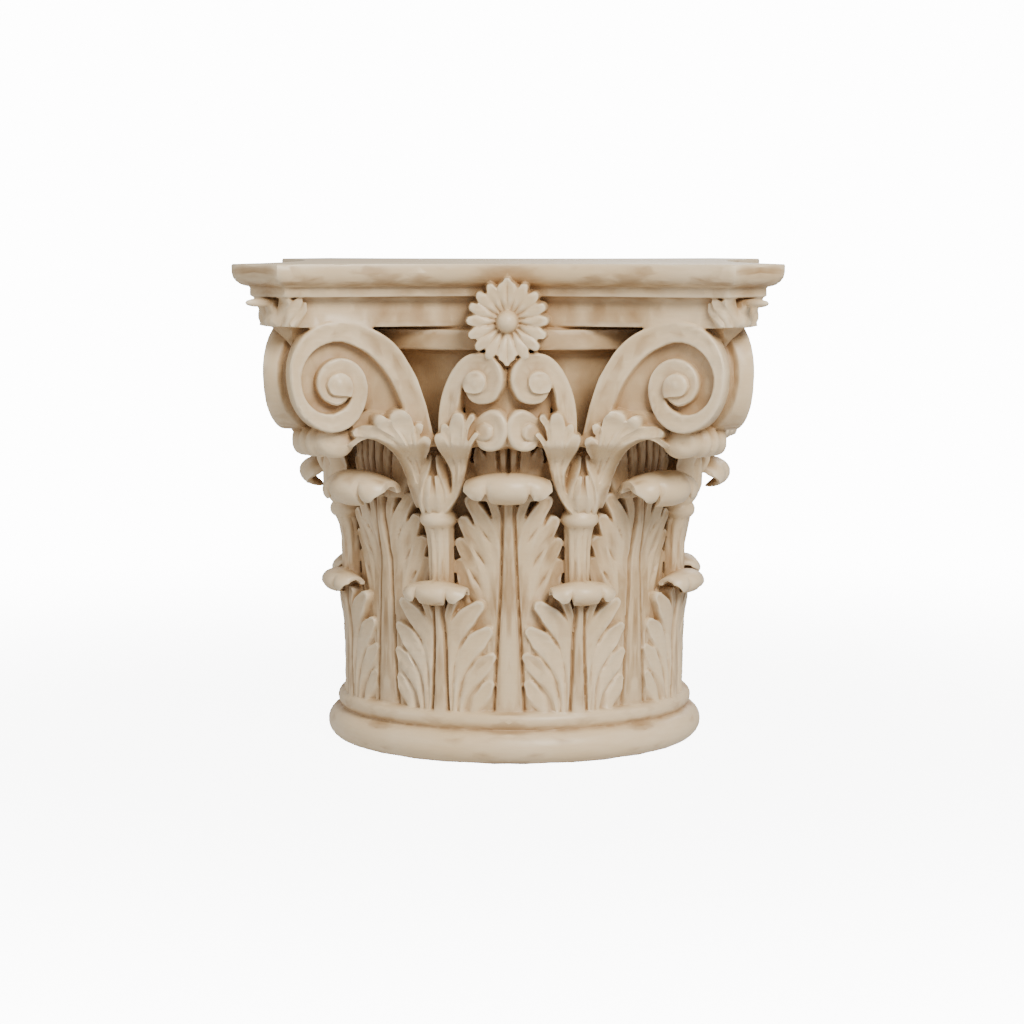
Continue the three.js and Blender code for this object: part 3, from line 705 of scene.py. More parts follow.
LEAF_SCROLL_EYE = np.array([-15.5, -170.5, 251.8])
LEAF_SCROLL_OUTER = [
    (-21.5, -12.5), (-17.5, -5), (-9, 6), (1, 12.6), (9.4, 12.4), (15, 6), (16, -3), (11.6, -12.2),
    (3.6, -15.8), (-5.2, -13.8), (-9.8, -7),
]
LEAF_SCROLL_INNER = [(-7.4, -6.2), (-10.5, -11), (-12.5, -14)]
LEAF_SCROLL_SPIRAL = [(-8, -7), (-7.6, -0.4), (-2, 3.6), (3.6, 1.6), (5, -3.6), (2, -7.6), (-3, -8)]


def leaf_scroll():
    """Soft scroll of a leaf's tip under the small scroll."""
    place = plane(LEAF_SCROLL_EYE, HELIX_ACROSS, HELIX_OUT, 1.05)
    loop = np.vstack([spline(LEAF_SCROLL_OUTER, 8), spline(LEAF_SCROLL_INNER, 6)])
    slab(loop, place, 0.0, -46.0, edge=2.4, grain=2.2, dish=lambda a, b, e: -1.8 * smooth(0.5, 4.5, e))
    slab(spline(LEAF_SCROLL_SPIRAL, 6, closed=True), place, 0.8, -6.0, edge=1.6, grain=1.8)


# Leaves that rise from the bud

CUP_BACK = -12.0
SHARES = [0, 0.3, 0.7, 0.86, 0.96, 1]

ARCH_RIBS = [
    ([(63.5, -91.3), (60.3, -84.4), (56.6, -76), (53, -67.2), (48.5, -58.1), (43.6, -50), (38.2, -44.1),
      (32.1, -40), (26.3, -38.3), (19.5, -38.4), (13.4, -40.4), (7.4, -44.4)],
     ([0, 0.3, 0.7, 1], [0.9, 1.1, 1.7, 2.1]), 3.4),
    ([(64.5, -91.4), (61, -83.9), (57.6, -74.6), (54.1, -65.1), (50.2, -55.8), (46, -47.9), (41.1, -41.8),
      (36.2, -37.7), (30.5, -35.5), (24.6, -34.6), (17.8, -34.2), (11.1, -35.3)],
     ([0, 0.3, 0.7, 0.84, 0.95, 1], [0.8, 1.1, 1.8, 3.6, 4.4, 3.4]), 4.2),
    ([(64.7, -90.9), (61.1, -82.1), (57.7, -72.8), (54, -63.1), (50, -54), (45.9, -45.8), (41.7, -39.1),
      (36.6, -33.9), (31.7, -30.4), (28.2, -26.8)],
     (SHARES, [0.8, 1.1, 2.0, 3.6, 4.8, 4.2]), 5.0),
    ([(65.1, -90.9), (61.6, -82.1), (58, -71.6), (54.4, -60.5), (51.3, -50.4), (48.6, -41.6), (45.8, -33.7),
      (43.2, -27.7), (41.6, -25.4)],
     ([0, 0.3, 0.62, 0.82, 0.95, 1], [0.8, 1.2, 2.6, 5.6, 7.6, 6.6]), 5.4),
    ([(65.5, -90.9), (62.1, -82.1), (58.6, -71.6), (55.2, -61.3), (52.9, -51.3), (52.5, -42.5), (53.7, -35.4),
      (55.6, -31.6)],
     (SHARES, [0.8, 1.1, 2.0, 2.6, 3.6, 3.0]), 4.0),
    ([(65.9, -91), (62.8, -83.1), (59.6, -75.1), (56.9, -66.8), (55.6, -59.5), (56.2, -52.2), (58.2, -46),
      (59.6, -42.4)],
     ([0, 0.3, 0.5, 0.72, 0.9, 1], [0.8, 1.1, 2.0, 3.8, 5.0, 4.2]), 4.6),
]
ARCH_CURLS = [((9, -36), 5, 3.4), ((18, -34.5), 4, 1.4), ((28.6, -27), 5.4, 5.0), ((38, -24), 5, 3.2),
              ((45, -22), 5, 3.6), ((55.6, -31), 3.6, 2.4), ((59.6, -41.4), 4.6, 1.8)]

INNER_RIBS = [
    ([(-26.2, -94.6), (-21.6, -88.8), (-18.2, -80.7), (-16.4, -71), (-16.6, -61.7), (-19.6, -53.7),
      (-24.2, -45.9), (-26.8, -41)],
     ([0, 0.3, 0.5, 0.72, 0.9, 1], [0.8, 1.1, 2.0, 3.8, 4.8, 4.0]), 4.6),
    ([(-25.8, -94.7), (-21.1, -88.9), (-17.2, -80.9), (-14.7, -71.8), (-13.7, -62.5), (-15, -54.2),
      (-18.2, -46.2), (-21.3, -37.9), (-22.6, -32.6)],
     (SHARES, [0.8, 1.1, 2.0, 2.6, 3.6, 3.0]), 4.2),
    ([(-25.4, -94.8), (-20.7, -89.2), (-16.3, -81.1), (-13.4, -71.8), (-12, -62.5), (-12.2, -54.1),
      (-13.5, -47.2), (-13.9, -40.2), (-12.9, -31.4), (-12.2, -26.4)],
     ([0, 0.3, 0.62, 0.82, 0.95, 1], [0.8, 1.1, 2.2, 4.4, 5.8, 5.0]), 5.0),
    ([(-25, -94.9), (-20.2, -89.4), (-15.5, -81.3), (-12, -71.7), (-10.1, -62), (-9.2, -54), (-8.2, -46.1),
      (-7, -38.2), (-5.5, -31.2), (-1.5, -25.1)],
     ([0, 0.3, 0.7, 1], [0.8, 1.1, 1.9, 2.4]), 4.4),
    ([(-24.6, -95), (-19.7, -89.6), (-14.7, -81.5), (-10.9, -72.1), (-8.4, -61.9), (-6.7, -54), (-4.4, -46.9),
      (-1.1, -40.7), (2, -37.3)],
     ([0, 0.3, 0.7, 1], [0.8, 1.1, 1.6, 1.8]), 3.4),
]
INNER_CURLS = [((-26.8, -40), 4.6, 1.8), ((-22.6, -31.6), 3.6, 2.4), ((-13, -24), 5.4, 3.6)]


def cup(u, v, k, place, low, end=0.0):
    """Point of a cup leaf, read in a scroll's plane and then moved back along the view. Further down
    it clings to the bell, low moves it on from there beside the bud, and end at its far end."""
    p = place(u, v, k)
    back = 19.0 * smooth(241, 227, p[..., 2]) + low * smooth(222, 204, p[..., 2]) + end * smooth(28, 8, u)
    p[..., 1] += back
    p[..., 2] -= 0.1 * back
    return p


def bud_leaf(reach, ribs, grooves, curls, place):
    """Leaf of ribs with grooves between pairs of them and curled tips."""
    a, b, X, Z = axes(*reach, GRID)
    h = fingers(X, Z, CUP_BACK, ribs, dish=1.6, edge=1.0, floor=(0.5, 2.6), crown=1.0)
    h = scored(h, X, Z, -6, ribs, grooves)
    h = curled(h, X, Z, -6, curls)
    relief(a, b, h, place, CUP_BACK)


def arch_leaf():
    """Ribbed leaf rising from the bud and arching to the corner under the large scroll."""
    bud_leaf((2, 76, -97, -14), ARCH_RIBS, ((0, 1), (2, 3), (3, 4)), ARCH_CURLS,
             lambda u, v, k: cup(u, v, k, on_scroll, -7.0, 9.0))


def inner_leaf():
    """Fingers rising from the bud beside the small scroll."""
    def place(u, v, k):
        return on_helix(u, v, 0.0) - np.stack(np.broadcast_arrays(1.5, k, 0.0), -1)

    bud_leaf((-40, 8, -99, -16), INNER_RIBS, ((0, 1), (2, 3)), INNER_CURLS,
             lambda u, v, k: cup(u, v, k, place, 7.0))


# Corner

ROLL_MIDDLE = DIAGONAL * 199.0 + UP * 240.5
ROLL_RADIUS = 10.0


def corner_roll():
    """Curled tips of the arched leaves meeting under the corner, and the tongue that carries them."""
    rings = []
    for t in np.linspace(-8, 26.4, 60):
        lobe = 2.4 * (abs(sin(pi * t / 9.0)) if t < 9 else sin(pi * min(1.0, (t - 9) / 17.5))) ** 0.7
        end = sqrt(max(0.03, 1 - (max(0.0, t - 19) / 7.6) ** 2))
        ring = []
        for u in (2 * pi * k / 36 for k in range(36)):
            dent = 4.5 * np.exp(-((t - 22.0) / 2.6) ** 2 - (min(u, 2 * pi - u) / 0.3) ** 2)
            r = (ROLL_RADIUS + lobe) * end * (1 + 0.05 * cos(2 * u)) - dent
            shift = -DIAGONAL * 0.012 * t * t
            ring.append(ROLL_MIDDLE + shift + ALONG * t + DIAGONAL * r * cos(u) + UP * (r * sin(u)))
        rings.append(ring)
    loft(rings)
    outline = ((-1, -0.7), (1, -0.7), (1.1, 0), (1, 0.7), (-1, 0.7), (-1.1, 0))
    tongue = []
    for s, w, r in ((0, 14, 5.5), (0.4, 15, 5.5), (0.8, 14, 6), (1, 12, 6)):
        mid = DIAGONAL * (198 - 58 * s) + UP * (244 + 9 * sin(pi * s * 0.6))
        tongue.append([mid + ALONG * w * x + UP * (r * y) for x, y in outline])
    loft(tongue)


CORNER_FINGERS = [
    ([(0, 325), (0, 332), (0, 341)], ([0, 0.5, 1], [5.0, 5.6, 4.0]), 7.0),
    ([(5, 324), (8, 333), (12, 341), (15, 347)], ([0, 0.6, 0.85, 1], [2.6, 3.8, 4.6, 3.0]), 6.0),
    ([(11, 324), (15.4, 333), (19.6, 340), (22, 344)], ([0, 0.6, 0.85, 1], [2.4, 3.2, 3.6, 2.4]), 4.4),
    ([(17, 324), (21, 331), (24.6, 337), (26, 341)], ([0, 0.6, 0.85, 1], [2.2, 2.8, 3.0, 2.0]), 3.2),
]
CORNER_CURLS = [((14, 345.5), 4, 2.6), ((21.6, 343.5), 3.6, 1.8), ((0, 340), 5, 4.0), ((4, 329), 3.4, 2.4)]
CORNER_HALF = 16.6
CORNER_BACK = -12.0


def corner_leaf():
    """Small leaf wrapped over the cut corner below the fillet, with its tip and the tongue under it."""
    u, v, X, Z = axes(-12, 52, 325, 354, GRID)
    A = np.abs(X)
    h = fingers(A, Z, CORNER_BACK, CORNER_FINGERS, dish=1.4, edge=1.0, floor=(1.0, 2.4), crown=1.2)
    h = curled(h, A, Z, -2, CORNER_CURLS)
    edge = np.array([-154.5, -177.5, 0.0])
    away = np.array([1.0, 0.40, 0.0]) / np.hypot(1.0, 0.40)
    front = np.array([away[1], -away[0], 0.0])
    middle = DIAGONAL * 234.6

    def place(u, v, k):
        u, v, k = np.broadcast_arrays(u, v, k)
        past = np.clip(u - CORNER_HALF, 0, None)[..., None]
        flat = np.where(u[..., None] < CORNER_HALF, middle + ALONG * u[..., None], edge + away * past)
        turn = smooth(10, 24, u)[..., None]
        out = DIAGONAL * (1 - turn) + front * turn
        out = out / np.linalg.norm(out, axis=-1, keepdims=True)
        return flat + out * k[..., None] + UP * v[..., None]

    relief(u, v, h, place, CORNER_BACK)
    ball(DIAGONAL * 251 + UP * 342.5, (13.0, 3.4, 3.2), [DIAGONAL, ALONG, UP], rows=9, sides=14)
    rings = []
    for z, w, far in ((310, 1.0, 222), (315, 4.0, 226), (320, 8.0, 230), (326, 13.0, 234)):
        outline = ((196, -1), (far - 2, -1), (far, 0), (far - 2, 1), (196, 1))
        rings.append([DIAGONAL * d + ALONG * w * x + UP * z for d, x in outline])
    loft(rings)


ROSETTE_HEIGHT = 328.6
ROSETTE_FACE = 175.5
ROSETTE_BACK = -34.0
PETAL_SHARES = [0, 0.35, 0.72, 0.88, 1]
DOUBLE_PETALS = (151, 27, 47.5, 68, 88.5, 109.5, 130.5)
SINGLE_PETALS = (0, 180)


def rosette():
    """Petals around a button: two wide pointed ones with a groove, and pairs of narrow ones between."""
    x, z, X, Z = axes(-36, 36.1, -36, 36.1, GRID)
    top = np.interp(np.hypot(X, Z), [6, 16, 32], [-4.4, -0.4, 0.6])
    h = np.full(X.shape, -40.0)
    for turns, reach, widths, lift in ((DOUBLE_PETALS, 26.4, [0.9, 2.2, 3.5, 4.1, 3.1], 0.0),
                                       (SINGLE_PETALS, 28.4, [1.2, 4.4, 7.0, 6.2, 2.4], 0.8)):
        for a in map(radians, turns):
            line = [(sin(a) * 6, cos(a) * 6), (sin(a) * reach, cos(a) * reach * 1.03)]
            h = np.maximum(h, strand(np.abs(X), Z, line, (PETAL_SHARES, widths), top + lift,
                                     dish=0.9, edge=1.7, crown=1.4))
    for along in (Z, -Z):
        groove = 1.5 * np.exp(-(X / 0.8) ** 2) * smooth(8, 12, along) * smooth(31, 24, along)
        h = h - np.where(along > 8, groove, 0)

    def place(u, v, k):
        return np.stack(np.broadcast_arrays(u, -(ROSETTE_FACE + k), v + ROSETTE_HEIGHT), -1)

    relief(x, z, h, place, ROSETTE_BACK)
    ball((0, -160, ROSETTE_HEIGHT), (26, 9, 26), rows=12, sides=24)
    ball((0, -171.5, ROSETTE_HEIGHT), (8.0, 8.9, 8.0), rows=14, sides=28)


turned_body()
abacus()
leaf(0.0, TALL)
fan(0.0, FRONT_FAN, 252, 3.0)
leaf(CORNER, TALL)
fan(CORNER, CORNER_FAN, 272, 1.7)
leaf(STALK, LOW)
stalk()
bud_petals()
large_scroll()
small_scroll()
leaf_scroll()
arch_leaf()
inner_leaf()
corner_roll()
corner_leaf()
rosette()


# One skin

CUT_NORMALS = ((1, 0, 0), (-sqrt(0.5), sqrt(0.5), 0))
CUT_SPARE = 1.6


def modified(mesh, add):
    """The mesh with the modifiers that add(modifiers) puts on it."""
    ob = bpy.data.objects.new("work", mesh)
    bpy.context.scene.collection.objects.link(ob)
    add(ob.modifiers)
    graph = bpy.context.evaluated_depsgraph_get()
    out = bpy.data.meshes.new_from_object(ob.evaluated_get(graph))
    bpy.data.objects.remove(ob)
    return out


def cut_to_eighth(bm, spare, snap):
    """Cuts off what lies beyond the two planes that the eighth is mirrored over."""
    for normal in CUT_NORMALS:
        bmesh.ops.bisect_plane(bm, geom=bm.verts[:] + bm.edges[:] + bm.faces[:], dist=snap,
                               plane_co=Vector(normal) * spare, plane_no=normal, clear_outer=True)


def fused_eighth():
    """All shells fused into one skin, cut a little beyond the two planes."""
    points, faces, base = [], [], 0
    for pts, fcs in shells:
        points.append(pts)
        faces += [tuple(int(i) + base for i in f) for f in fcs]
        base += len(pts)
    mesh = bpy.data.meshes.new("eighth")
    mesh.from_pydata(np.vstack(points).tolist(), [], faces)
    mesh.update()

    def fuse(modifiers):
        remesh = modifiers.new("fuse", "REMESH")
        remesh.mode = "VOXEL"
        remesh.voxel_size = VOXEL
        remesh.use_smooth_shade = True
        soft = modifiers.new("soft", "SMOOTH")
        soft.factor = 0.5
        soft.iterations = 1

    dense = modified(mesh, fuse)
    bm = bmesh.new()
    bm.from_mesh(dense)
    cut_to_eighth(bm, CUT_SPARE, 0.0)
    bm.to_mesh(dense)
    bm.free()
    return dense


def thinned(mesh):
    """The same skin with fewer triangles, kept where the carving needs them."""
    def thin(modifiers):
        collapse = modifiers.new("thin", "DECIMATE")
        collapse.ratio = min(1.0, EIGHTH_TRIANGLES / sum(len(p.vertices) - 2 for p in mesh.polygons))
        collapse.use_collapse_triangulate = True

    return modified(mesh, thin)


def whole(mesh):
    """The eighth cut exactly at its planes, mirrored and turned into the whole capital."""
    bm = bmesh.new()
    bm.from_mesh(mesh)
    cut_to_eighth(bm, 0.0, 0.02)
    bmesh.ops.triangulate(bm, faces=bm.faces[:])
    for v in bm.verts:
        x, y, z = v.co
        if abs(x) < 0.05:
            x = 0.0
        if abs(x - y) < 0.07:
            x = y = (x + y) / 2
        if z < 0.5:
            z = 0.0
        if z > HEIGHT - 0.5:
            z = HEIGHT
        v.co = (x, y, z)
    bm.verts.ensure_lookup_table()
    co = np.array([v.co[:] for v in bm.verts])
    tri = np.array([[v.index for v in f.verts] for f in bm.faces])
    bm.free()
    swapped = co[:, [1, 0, 2]]
    points, faces, base = [], [], 0
    for quarter in range(4):
        c, s = round(cos(quarter * pi / 2)), round(sin(quarter * pi / 2))
        spin = np.array([[c, -s, 0], [s, c, 0], [0, 0, 1]], float)
        for source, triangles in ((co, tri), (swapped, tri[:, ::-1])):
            points.append(source @ spin.T)
            faces.append(triangles + base)
            base += len(co)
    return np.vstack(points), np.vstack(faces)


def column(items, name, width, kind=np.float32):
    """Values of one property of a mesh's elements, a row for each element."""
    out = np.empty(len(items) * width, kind)
    items.foreach_get(name, out)
    return out.reshape(-1, width)


# From here on the whole capital is in metres
MM = 0.001
FLAT_FOOT = 0.0005
FLAT_TOP = 0.3695
LONGEST_EDGES = (0.012, 0.0075, 0.006)


def welded(points, faces):
    """Mesh of the whole capital, welded, with its longest edges divided."""
    mesh = bpy.data.meshes.new("capital_carved")
    mesh.from_pydata((points * MM).tolist(), [], faces.tolist())
    number = mesh.attributes.new("eighth", "INT", "POINT")
    number.data.foreach_set("value", np.tile(np.arange(len(points) // 8, dtype=np.int32), 8))
    bm = bmesh.new()
    bm.from_mesh(mesh)
    bmesh.ops.remove_doubles(bm, verts=bm.verts[:], dist=0.00002)
    bmesh.ops.dissolve_degenerate(bm, edges=bm.edges[:], dist=0.00001)
    for longest in LONGEST_EDGES:
        room = max(0, MOST_TRIANGLES - len(bm.faces)) // 2
        edges = [e for e in bm.edges
                 if e.calc_length() > longest and FLAT_FOOT < max(v.co.z for v in e.verts) < FLAT_TOP]
        edges = sorted(edges, key=lambda e: -e.calc_length())[:room]
        bmesh.ops.subdivide_edges(bm, edges=edges, cuts=1)
        bmesh.ops.triangulate(bm, faces=bm.faces[:])
    bmesh.ops.recalc_face_normals(bm, faces=bm.faces[:])
    bm.to_mesh(mesh)
    bm.free()
    return mesh


def uneven(mesh):
    """Slight unevenness of hand finishing, the same on every run. Foot and top stay flat."""
    co = column(mesh.vertices, "co", 3)
    moved = co.copy()
    for i, p in enumerate(co):
        if 0.0006 < p[2] < 0.3694:
            v = Vector(p)
            wave = np.array(noise.noise_vector(v * 11.0)) * 0.0003
            ripple = np.array(noise.noise_vector(v * 60.0 + Vector((3, 1, 7)))) * 0.0001
            moved[i] += wave + ripple
    mesh.vertices.foreach_set("co", moved.ravel())
    mesh.update()


dense = fused_eighth()
mesh = welded(*whole(thinned(dense)))
uneven(mesh)
mesh.shade_smooth()
mesh.set_sharp_from_angle(angle=radians(42))

capital = bpy.data.objects.new("capital_carved", mesh)
bpy.context.scene.collection.objects.link(capital)
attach(capital, "root")
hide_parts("capital")


# Masks for the stone's colour, kept in a colour on each point: red the share hidden close by, green how far
# the surface bends out, and blue the hidden share averaged over a wider patch. They place a brown glaze
# deepened into painted shade in hollows and creases, and rubbed edges lightened into a painted highlight.

HIDDEN_REACH = 0.035
HIDDEN_RAYS = 48


def hidden_share(mesh):
    """Share of the sky hidden near each point, worked out once for each number in the eighth."""
    source = column(mesh.attributes["eighth"].data, "value", 1, np.int32).ravel()
    _, first, back = np.unique(source, return_index=True, return_inverse=True)
    tree = BVHTree.FromPolygons([v.co[:] for v in mesh.vertices], [tuple(p.vertices) for p in mesh.polygons])
    golden = pi * (3 - sqrt(5))
    rays = []
    for k in range(HIDDEN_RAYS):
        up = sqrt(1 - (k + 0.5) / HIDDEN_RAYS)
        side = sqrt(max(0, 1 - up * up))
        rays.append((side * cos(golden * k), side * sin(golden * k), up))
    shade = np.zeros(len(first))
    for i, k in enumerate(first):
        v = mesh.vertices[int(k)]
        normal = v.normal
        helper = Vector((0, 0, 1)) if abs(normal.z) < 0.9 else Vector((1, 0, 0))
        t = normal.cross(helper).normalized()
        b = normal.cross(t)
        start = v.co + normal * 0.0004
        total = 0.0
        for x, y, z in rays:
            spot, _, _, distance = tree.ray_cast(start, t * x + b * y + normal * z, HIDDEN_REACH)
            if spot is not None:
                total += 1 - distance / HIDDEN_REACH
        shade[i] = total / HIDDEN_RAYS
    return shade[back]


def averaged(mesh, values, times):
    """Rows of values averaged over neighbouring points."""
    a, b = column(mesh.edges, "vertices", 2, np.int32).T
    n = len(mesh.vertices)
    count = np.bincount(a, minlength=n) + np.bincount(b, minlength=n)
    out = values
    for _ in range(times):
        sums = [row + np.bincount(a, row[b], n) + np.bincount(b, row[a], n) for row in out.T]
        out = np.stack([total / (1 + count) for total in sums], -1)
    return out


def bent(mesh, dense):
    """How far the surface bends out, read from the evenly divided skin before it was thinned.
    A slight bend counts as none."""
    even = column(dense.vertices, "co", 3).astype(float)
    normal = column(dense.vertices, "normal", 3)
    total = np.zeros(len(even))
    for times, weight in ((6, 0.6), (26, 0.4)):
        height = np.einsum("ij,ij->i", even - averaged(dense, even, times), normal)
        total += weight * height / (0.11 * sqrt(times))
    total = averaged(dense, total[:, None], 2)[:, 0]
    total = np.sign(total) * np.maximum(np.abs(total) - 0.2, 0)
    lookup = KDTree(len(even))
    for i, p in enumerate(even):
        lookup.insert(p, i)
    lookup.balance()
    found = np.empty(len(mesh.vertices))
    for i, v in enumerate(mesh.vertices):
        x, y = sorted((abs(v.co.x), abs(v.co.y)))
        found[i] = total[lookup.find((-x / MM, -y / MM, v.co.z / MM))[1]]
    return found


shade = averaged(mesh, hidden_share(mesh)[:, None], 1)
glaze_shade_highlight_masks = np.ones((len(mesh.vertices), 4), np.float32)
glaze_shade_highlight_masks[:, 0] = np.clip(shade[:, 0], 0, 1)
glaze_shade_highlight_masks[:, 1] = np.clip(0.5 + 0.25 * bent(mesh, dense), 0, 1)
glaze_shade_highlight_masks[:, 2] = np.clip(averaged(mesh, shade, 12)[:, 0], 0, 1)
layer = mesh.color_attributes.new("glaze_shade_highlight_masks", "FLOAT_COLOR", "POINT")
layer.data.foreach_set("color", glaze_shade_highlight_masks.ravel())


# Stone

CREAM = (0.76, 0.575, 0.34, 1)
PALE_CREAM = (0.82, 0.655, 0.43, 1)
STREAK = (0.67, 0.48, 0.265, 1)
# Tan for broad hollows: a real glaze, deepened into painted shade
TAN_GLAZE_AND_SHADE = (0.58, 0.405, 0.215, 1)
# Dark brown for close hollows: a real glaze, deepened into painted shade
GLAZE_AND_SHADE = (0.36, 0.215, 0.095, 1)
# Dark brown for creases: a real glaze, deepened into painted shade
CREASE_GLAZE_AND_SHADE = (0.36, 0.215, 0.098, 1)
# Pale colour for raised edges: glaze rubbed off, lightened past the cream as a painted highlight
RUBBED_AND_HIGHLIGHT = (0.90, 0.765, 0.545, 1)


def stone():
    """Cream cast stone with a brown glaze in its hollows and creases, rubbed off its edges. The glaze is
    darkened further as painted shade where the surface is hidden or bends in, and the rubbed edges are
    lightened past the cream as a painted highlight.
    """
    mat = bpy.data.materials.new("cast_stone_glaze_shade_and_highlight")
    mat.use_nodes = True
    mat.node_tree.nodes.clear()
    new, link = mat.node_tree.nodes.new, mat.node_tree.links.new

    def feed(socket, v):
        if hasattr(v, "is_linked"):
            link(v, socket)
        else:
            socket.default_value = v

    def mix(factor, a, b):
        m = new("ShaderNodeMix")
        m.data_type = "RGBA"
        for index, v in ((0, factor), (6, a), (7, b)):
            feed(m.inputs[index], v)
        return m.outputs[2]

    def calc(operation, a, b, clamp=True):
        m = new("ShaderNodeMath")
        m.operation = operation
        m.use_clamp = clamp
        feed(m.inputs[0], a)
        feed(m.inputs[1], b)
        return m.outputs[0]

    def times(a, b):
        return calc("MULTIPLY", a, b)

    def ramp(source, *stops):
        r = new("ShaderNodeValToRGB")
        link(source, r.inputs[0])
        while len(r.color_ramp.elements) < len(stops):
            r.color_ramp.elements.new(0.5)
        for element, (position, v) in zip(r.color_ramp.elements, stops):
            element.position = position
            element.color = (v, v, v, 1)
        return r.outputs[0]

    def grain(scale, detail, stretch=(1, 1, 1)):
        m = new("ShaderNodeMapping")
        m.inputs["Scale"].default_value = stretch
        link(coord.outputs["Object"], m.inputs[0])
        texture = new("ShaderNodeTexNoise")
        for name, v in (("Scale", scale), ("Detail", detail), ("Roughness", 0.55), ("Vector", m.outputs[0])):
            feed(texture.inputs[name], v)
        return texture.outputs[0]

    coord = new("ShaderNodeTexCoord")
    attr = new("ShaderNodeAttribute")
    attr.attribute_name = "glaze_shade_highlight_masks"
    split = new("ShaderNodeSeparateColor")
    link(attr.outputs["Color"], split.inputs[0])
    hidden, bend, wide = split.outputs[0], split.outputs[1], split.outputs[2]

    cloud = grain(14, 4)
    fine = grain(420, 3)
    speck = grain(90, 4)
    streak = grain(60, 4, (1, 1, 7))
    # Brown glaze in hollows where the sky is hidden close by, deepened into painted shade; speckled noise
    # makes it uneven
    uneven_glaze_and_shade = calc("ADD", times(speck, 0.6), 0.7, clamp=False)
    glaze_and_shade = times(ramp(hidden, (0.10, 0), (0.28, 0.55), (0.55, 1)), uneven_glaze_and_shade)
    # Glaze with painted shade in creases, where the surface bends in
    crease = times(ramp(bend, (0.17, 1), (0.44, 0)), uneven_glaze_and_shade)
    # Rubbed edges where the surface bends out, lightened past the cream as a painted highlight
    rub_and_highlight = ramp(bend, (0.56, 0), (0.86, 1))

    body = mix(ramp(cloud, (0.34, 0), (0.66, 1)), CREAM, PALE_CREAM)
    body = mix(times(ramp(streak, (0.4, 0), (0.75, 1)), 0.35), body, STREAK)
    # Tan glaze with painted shade over broad hollows
    body = mix(times(ramp(wide, (0.03, 0), (0.36, 1)), 0.8), body, TAN_GLAZE_AND_SHADE)
    body = mix(times(glaze_and_shade, 0.9), body, GLAZE_AND_SHADE)
    body = mix(times(crease, 0.75), body, CREASE_GLAZE_AND_SHADE)
    body = mix(times(rub_and_highlight, 0.62), body, RUBBED_AND_HIGHLIGHT)
    rough = calc("ADD", times(glaze_and_shade, 0.22), calc("ADD", times(speck, 0.14), 0.34))

    bump = new("ShaderNodeBump")
    height = calc("ADD", times(fine, 0.35), times(streak, 0.65))
    for name, v in (("Strength", 0.16), ("Distance", 0.0006), ("Height", height)):
        feed(bump.inputs[name], v)
    shader = new("ShaderNodeBsdfPrincipled")
    for name, v in (("Base Color", body), ("Roughness", rough), ("Specular IOR Level", 0.42),
                    ("Coat Weight", 0.12), ("Coat Roughness", 0.38), ("Normal", bump.outputs[0])):
        feed(shader.inputs[name], v)
    out = new("ShaderNodeOutputMaterial")
    link(shader.outputs[0], out.inputs[0])
    return mat


mesh.materials.append(stone())


# Floor, light and camera

def pale_floor():
    """Floor material that fades out around the capital, so that only a faint shadow shows."""
    mat = bpy.data.materials.new("pale_floor")
    mat.use_nodes = True
    tree = mat.node_tree
    shader = tree.nodes["Principled BSDF"]
    shader.inputs["Base Color"].default_value = (0.93, 0.93, 0.925, 1)
    shader.inputs["Roughness"].default_value = 0.8
    coord = tree.nodes.new("ShaderNodeTexCoord")
    length = tree.nodes.new("ShaderNodeVectorMath")
    length.operation = "LENGTH"
    fade = tree.nodes.new("ShaderNodeMapRange")
    fade.interpolation_type = "SMOOTHSTEP"
    for name, v in (("From Min", 0.25), ("From Max", 1.3), ("To Min", 0.4), ("To Max", 0.0)):
        fade.inputs[name].default_value = v
    tree.links.new(coord.outputs["Object"], length.inputs[0])
    tree.links.new(length.outputs["Value"], fade.inputs["Value"])
    tree.links.new(fade.outputs["Result"], shader.inputs["Alpha"])
    return mat


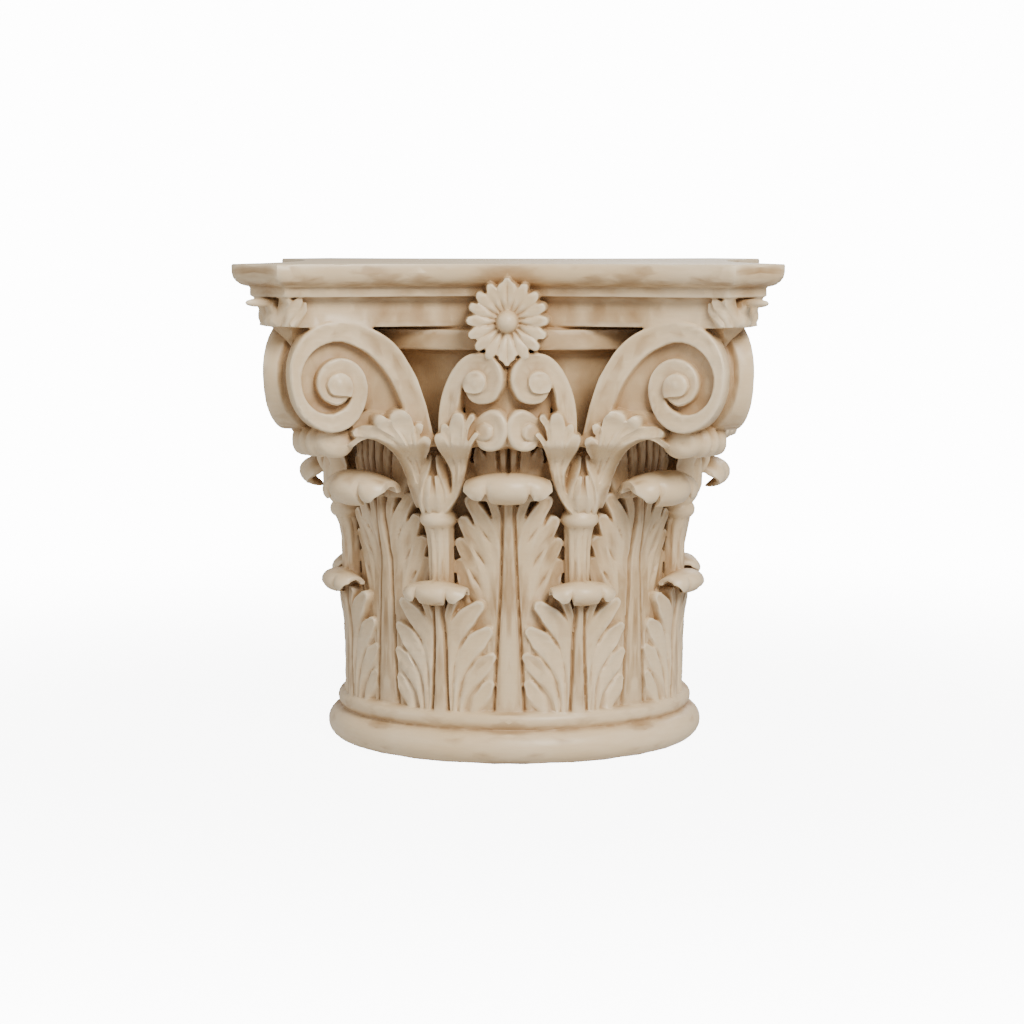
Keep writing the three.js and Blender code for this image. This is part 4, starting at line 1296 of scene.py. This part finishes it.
ground = bpy.data.meshes.new("floor")
ground.from_pydata([(-6, -6, 0), (6, -6, 0), (6, 9, 0), (-6, 9, 0)], [], [(0, 1, 2, 3)])
ground.materials.append(pale_floor())
floor = bpy.data.objects.new("floor", ground)
bpy.context.scene.collection.objects.link(floor)


def soft_light(name, spot, target, size, power, colour=(1, 1, 1)):
    data = bpy.data.lights.new(name, "AREA")
    data.shape = "RECTANGLE"
    data.size, data.size_y = size
    data.energy = power
    data.color = colour
    ob = bpy.data.objects.new(name, data)
    ob.location = spot
    ob.rotation_euler = (Vector(target) - Vector(spot)).to_track_quat("-Z", "Y").to_euler()
    bpy.context.scene.collection.objects.link(ob)


soft_light("key", (0.9, -1.7, 1.55), (0, 0, 0.2), (0.9, 0.9), 65, (1.0, 0.97, 0.92))
soft_light("left_fill", (-2.0, -1.2, 0.9), (0, 0, 0.2), (1.4, 1.4), 12)
soft_light("back_rim", (0.6, 2.0, 1.4), (0, 0, 0.25), (1.4, 1.0), 14)

# The backdrop is brighter to the camera than to the stone
SKY_ON_STONE = 0.5
SKY_SEEN = 14.0

world = bpy.data.worlds.new("studio")
world.use_nodes = True
nodes, links = world.node_tree.nodes, world.node_tree.links
sky = nodes["Background"]
sky.inputs["Color"].default_value = (1, 1, 1, 1)
path = nodes.new("ShaderNodeLightPath")
bright = nodes.new("ShaderNodeMapRange")
bright.inputs["To Min"].default_value = SKY_ON_STONE
bright.inputs["To Max"].default_value = SKY_SEEN
links.new(path.outputs["Is Camera Ray"], bright.inputs["Value"])
links.new(bright.outputs["Result"], sky.inputs["Strength"])
bpy.context.scene.world = world

CAMERA_SPOT = (0.0655, -2.167, 0.3982)
CAMERA_DOWN = 5.907
CAMERA_TURN = 1.73

camera_data = bpy.data.cameras.new("camera")
camera_data.sensor_width = 36
camera_data.lens = 97.7
camera_data.shift_x = -2.4 / 1024
camera = bpy.data.objects.new("camera", camera_data)
camera.location = CAMERA_SPOT
camera.rotation_euler = (radians(90 - CAMERA_DOWN), 0, radians(CAMERA_TURN))
bpy.context.scene.collection.objects.link(camera)
bpy.context.scene.camera = camera
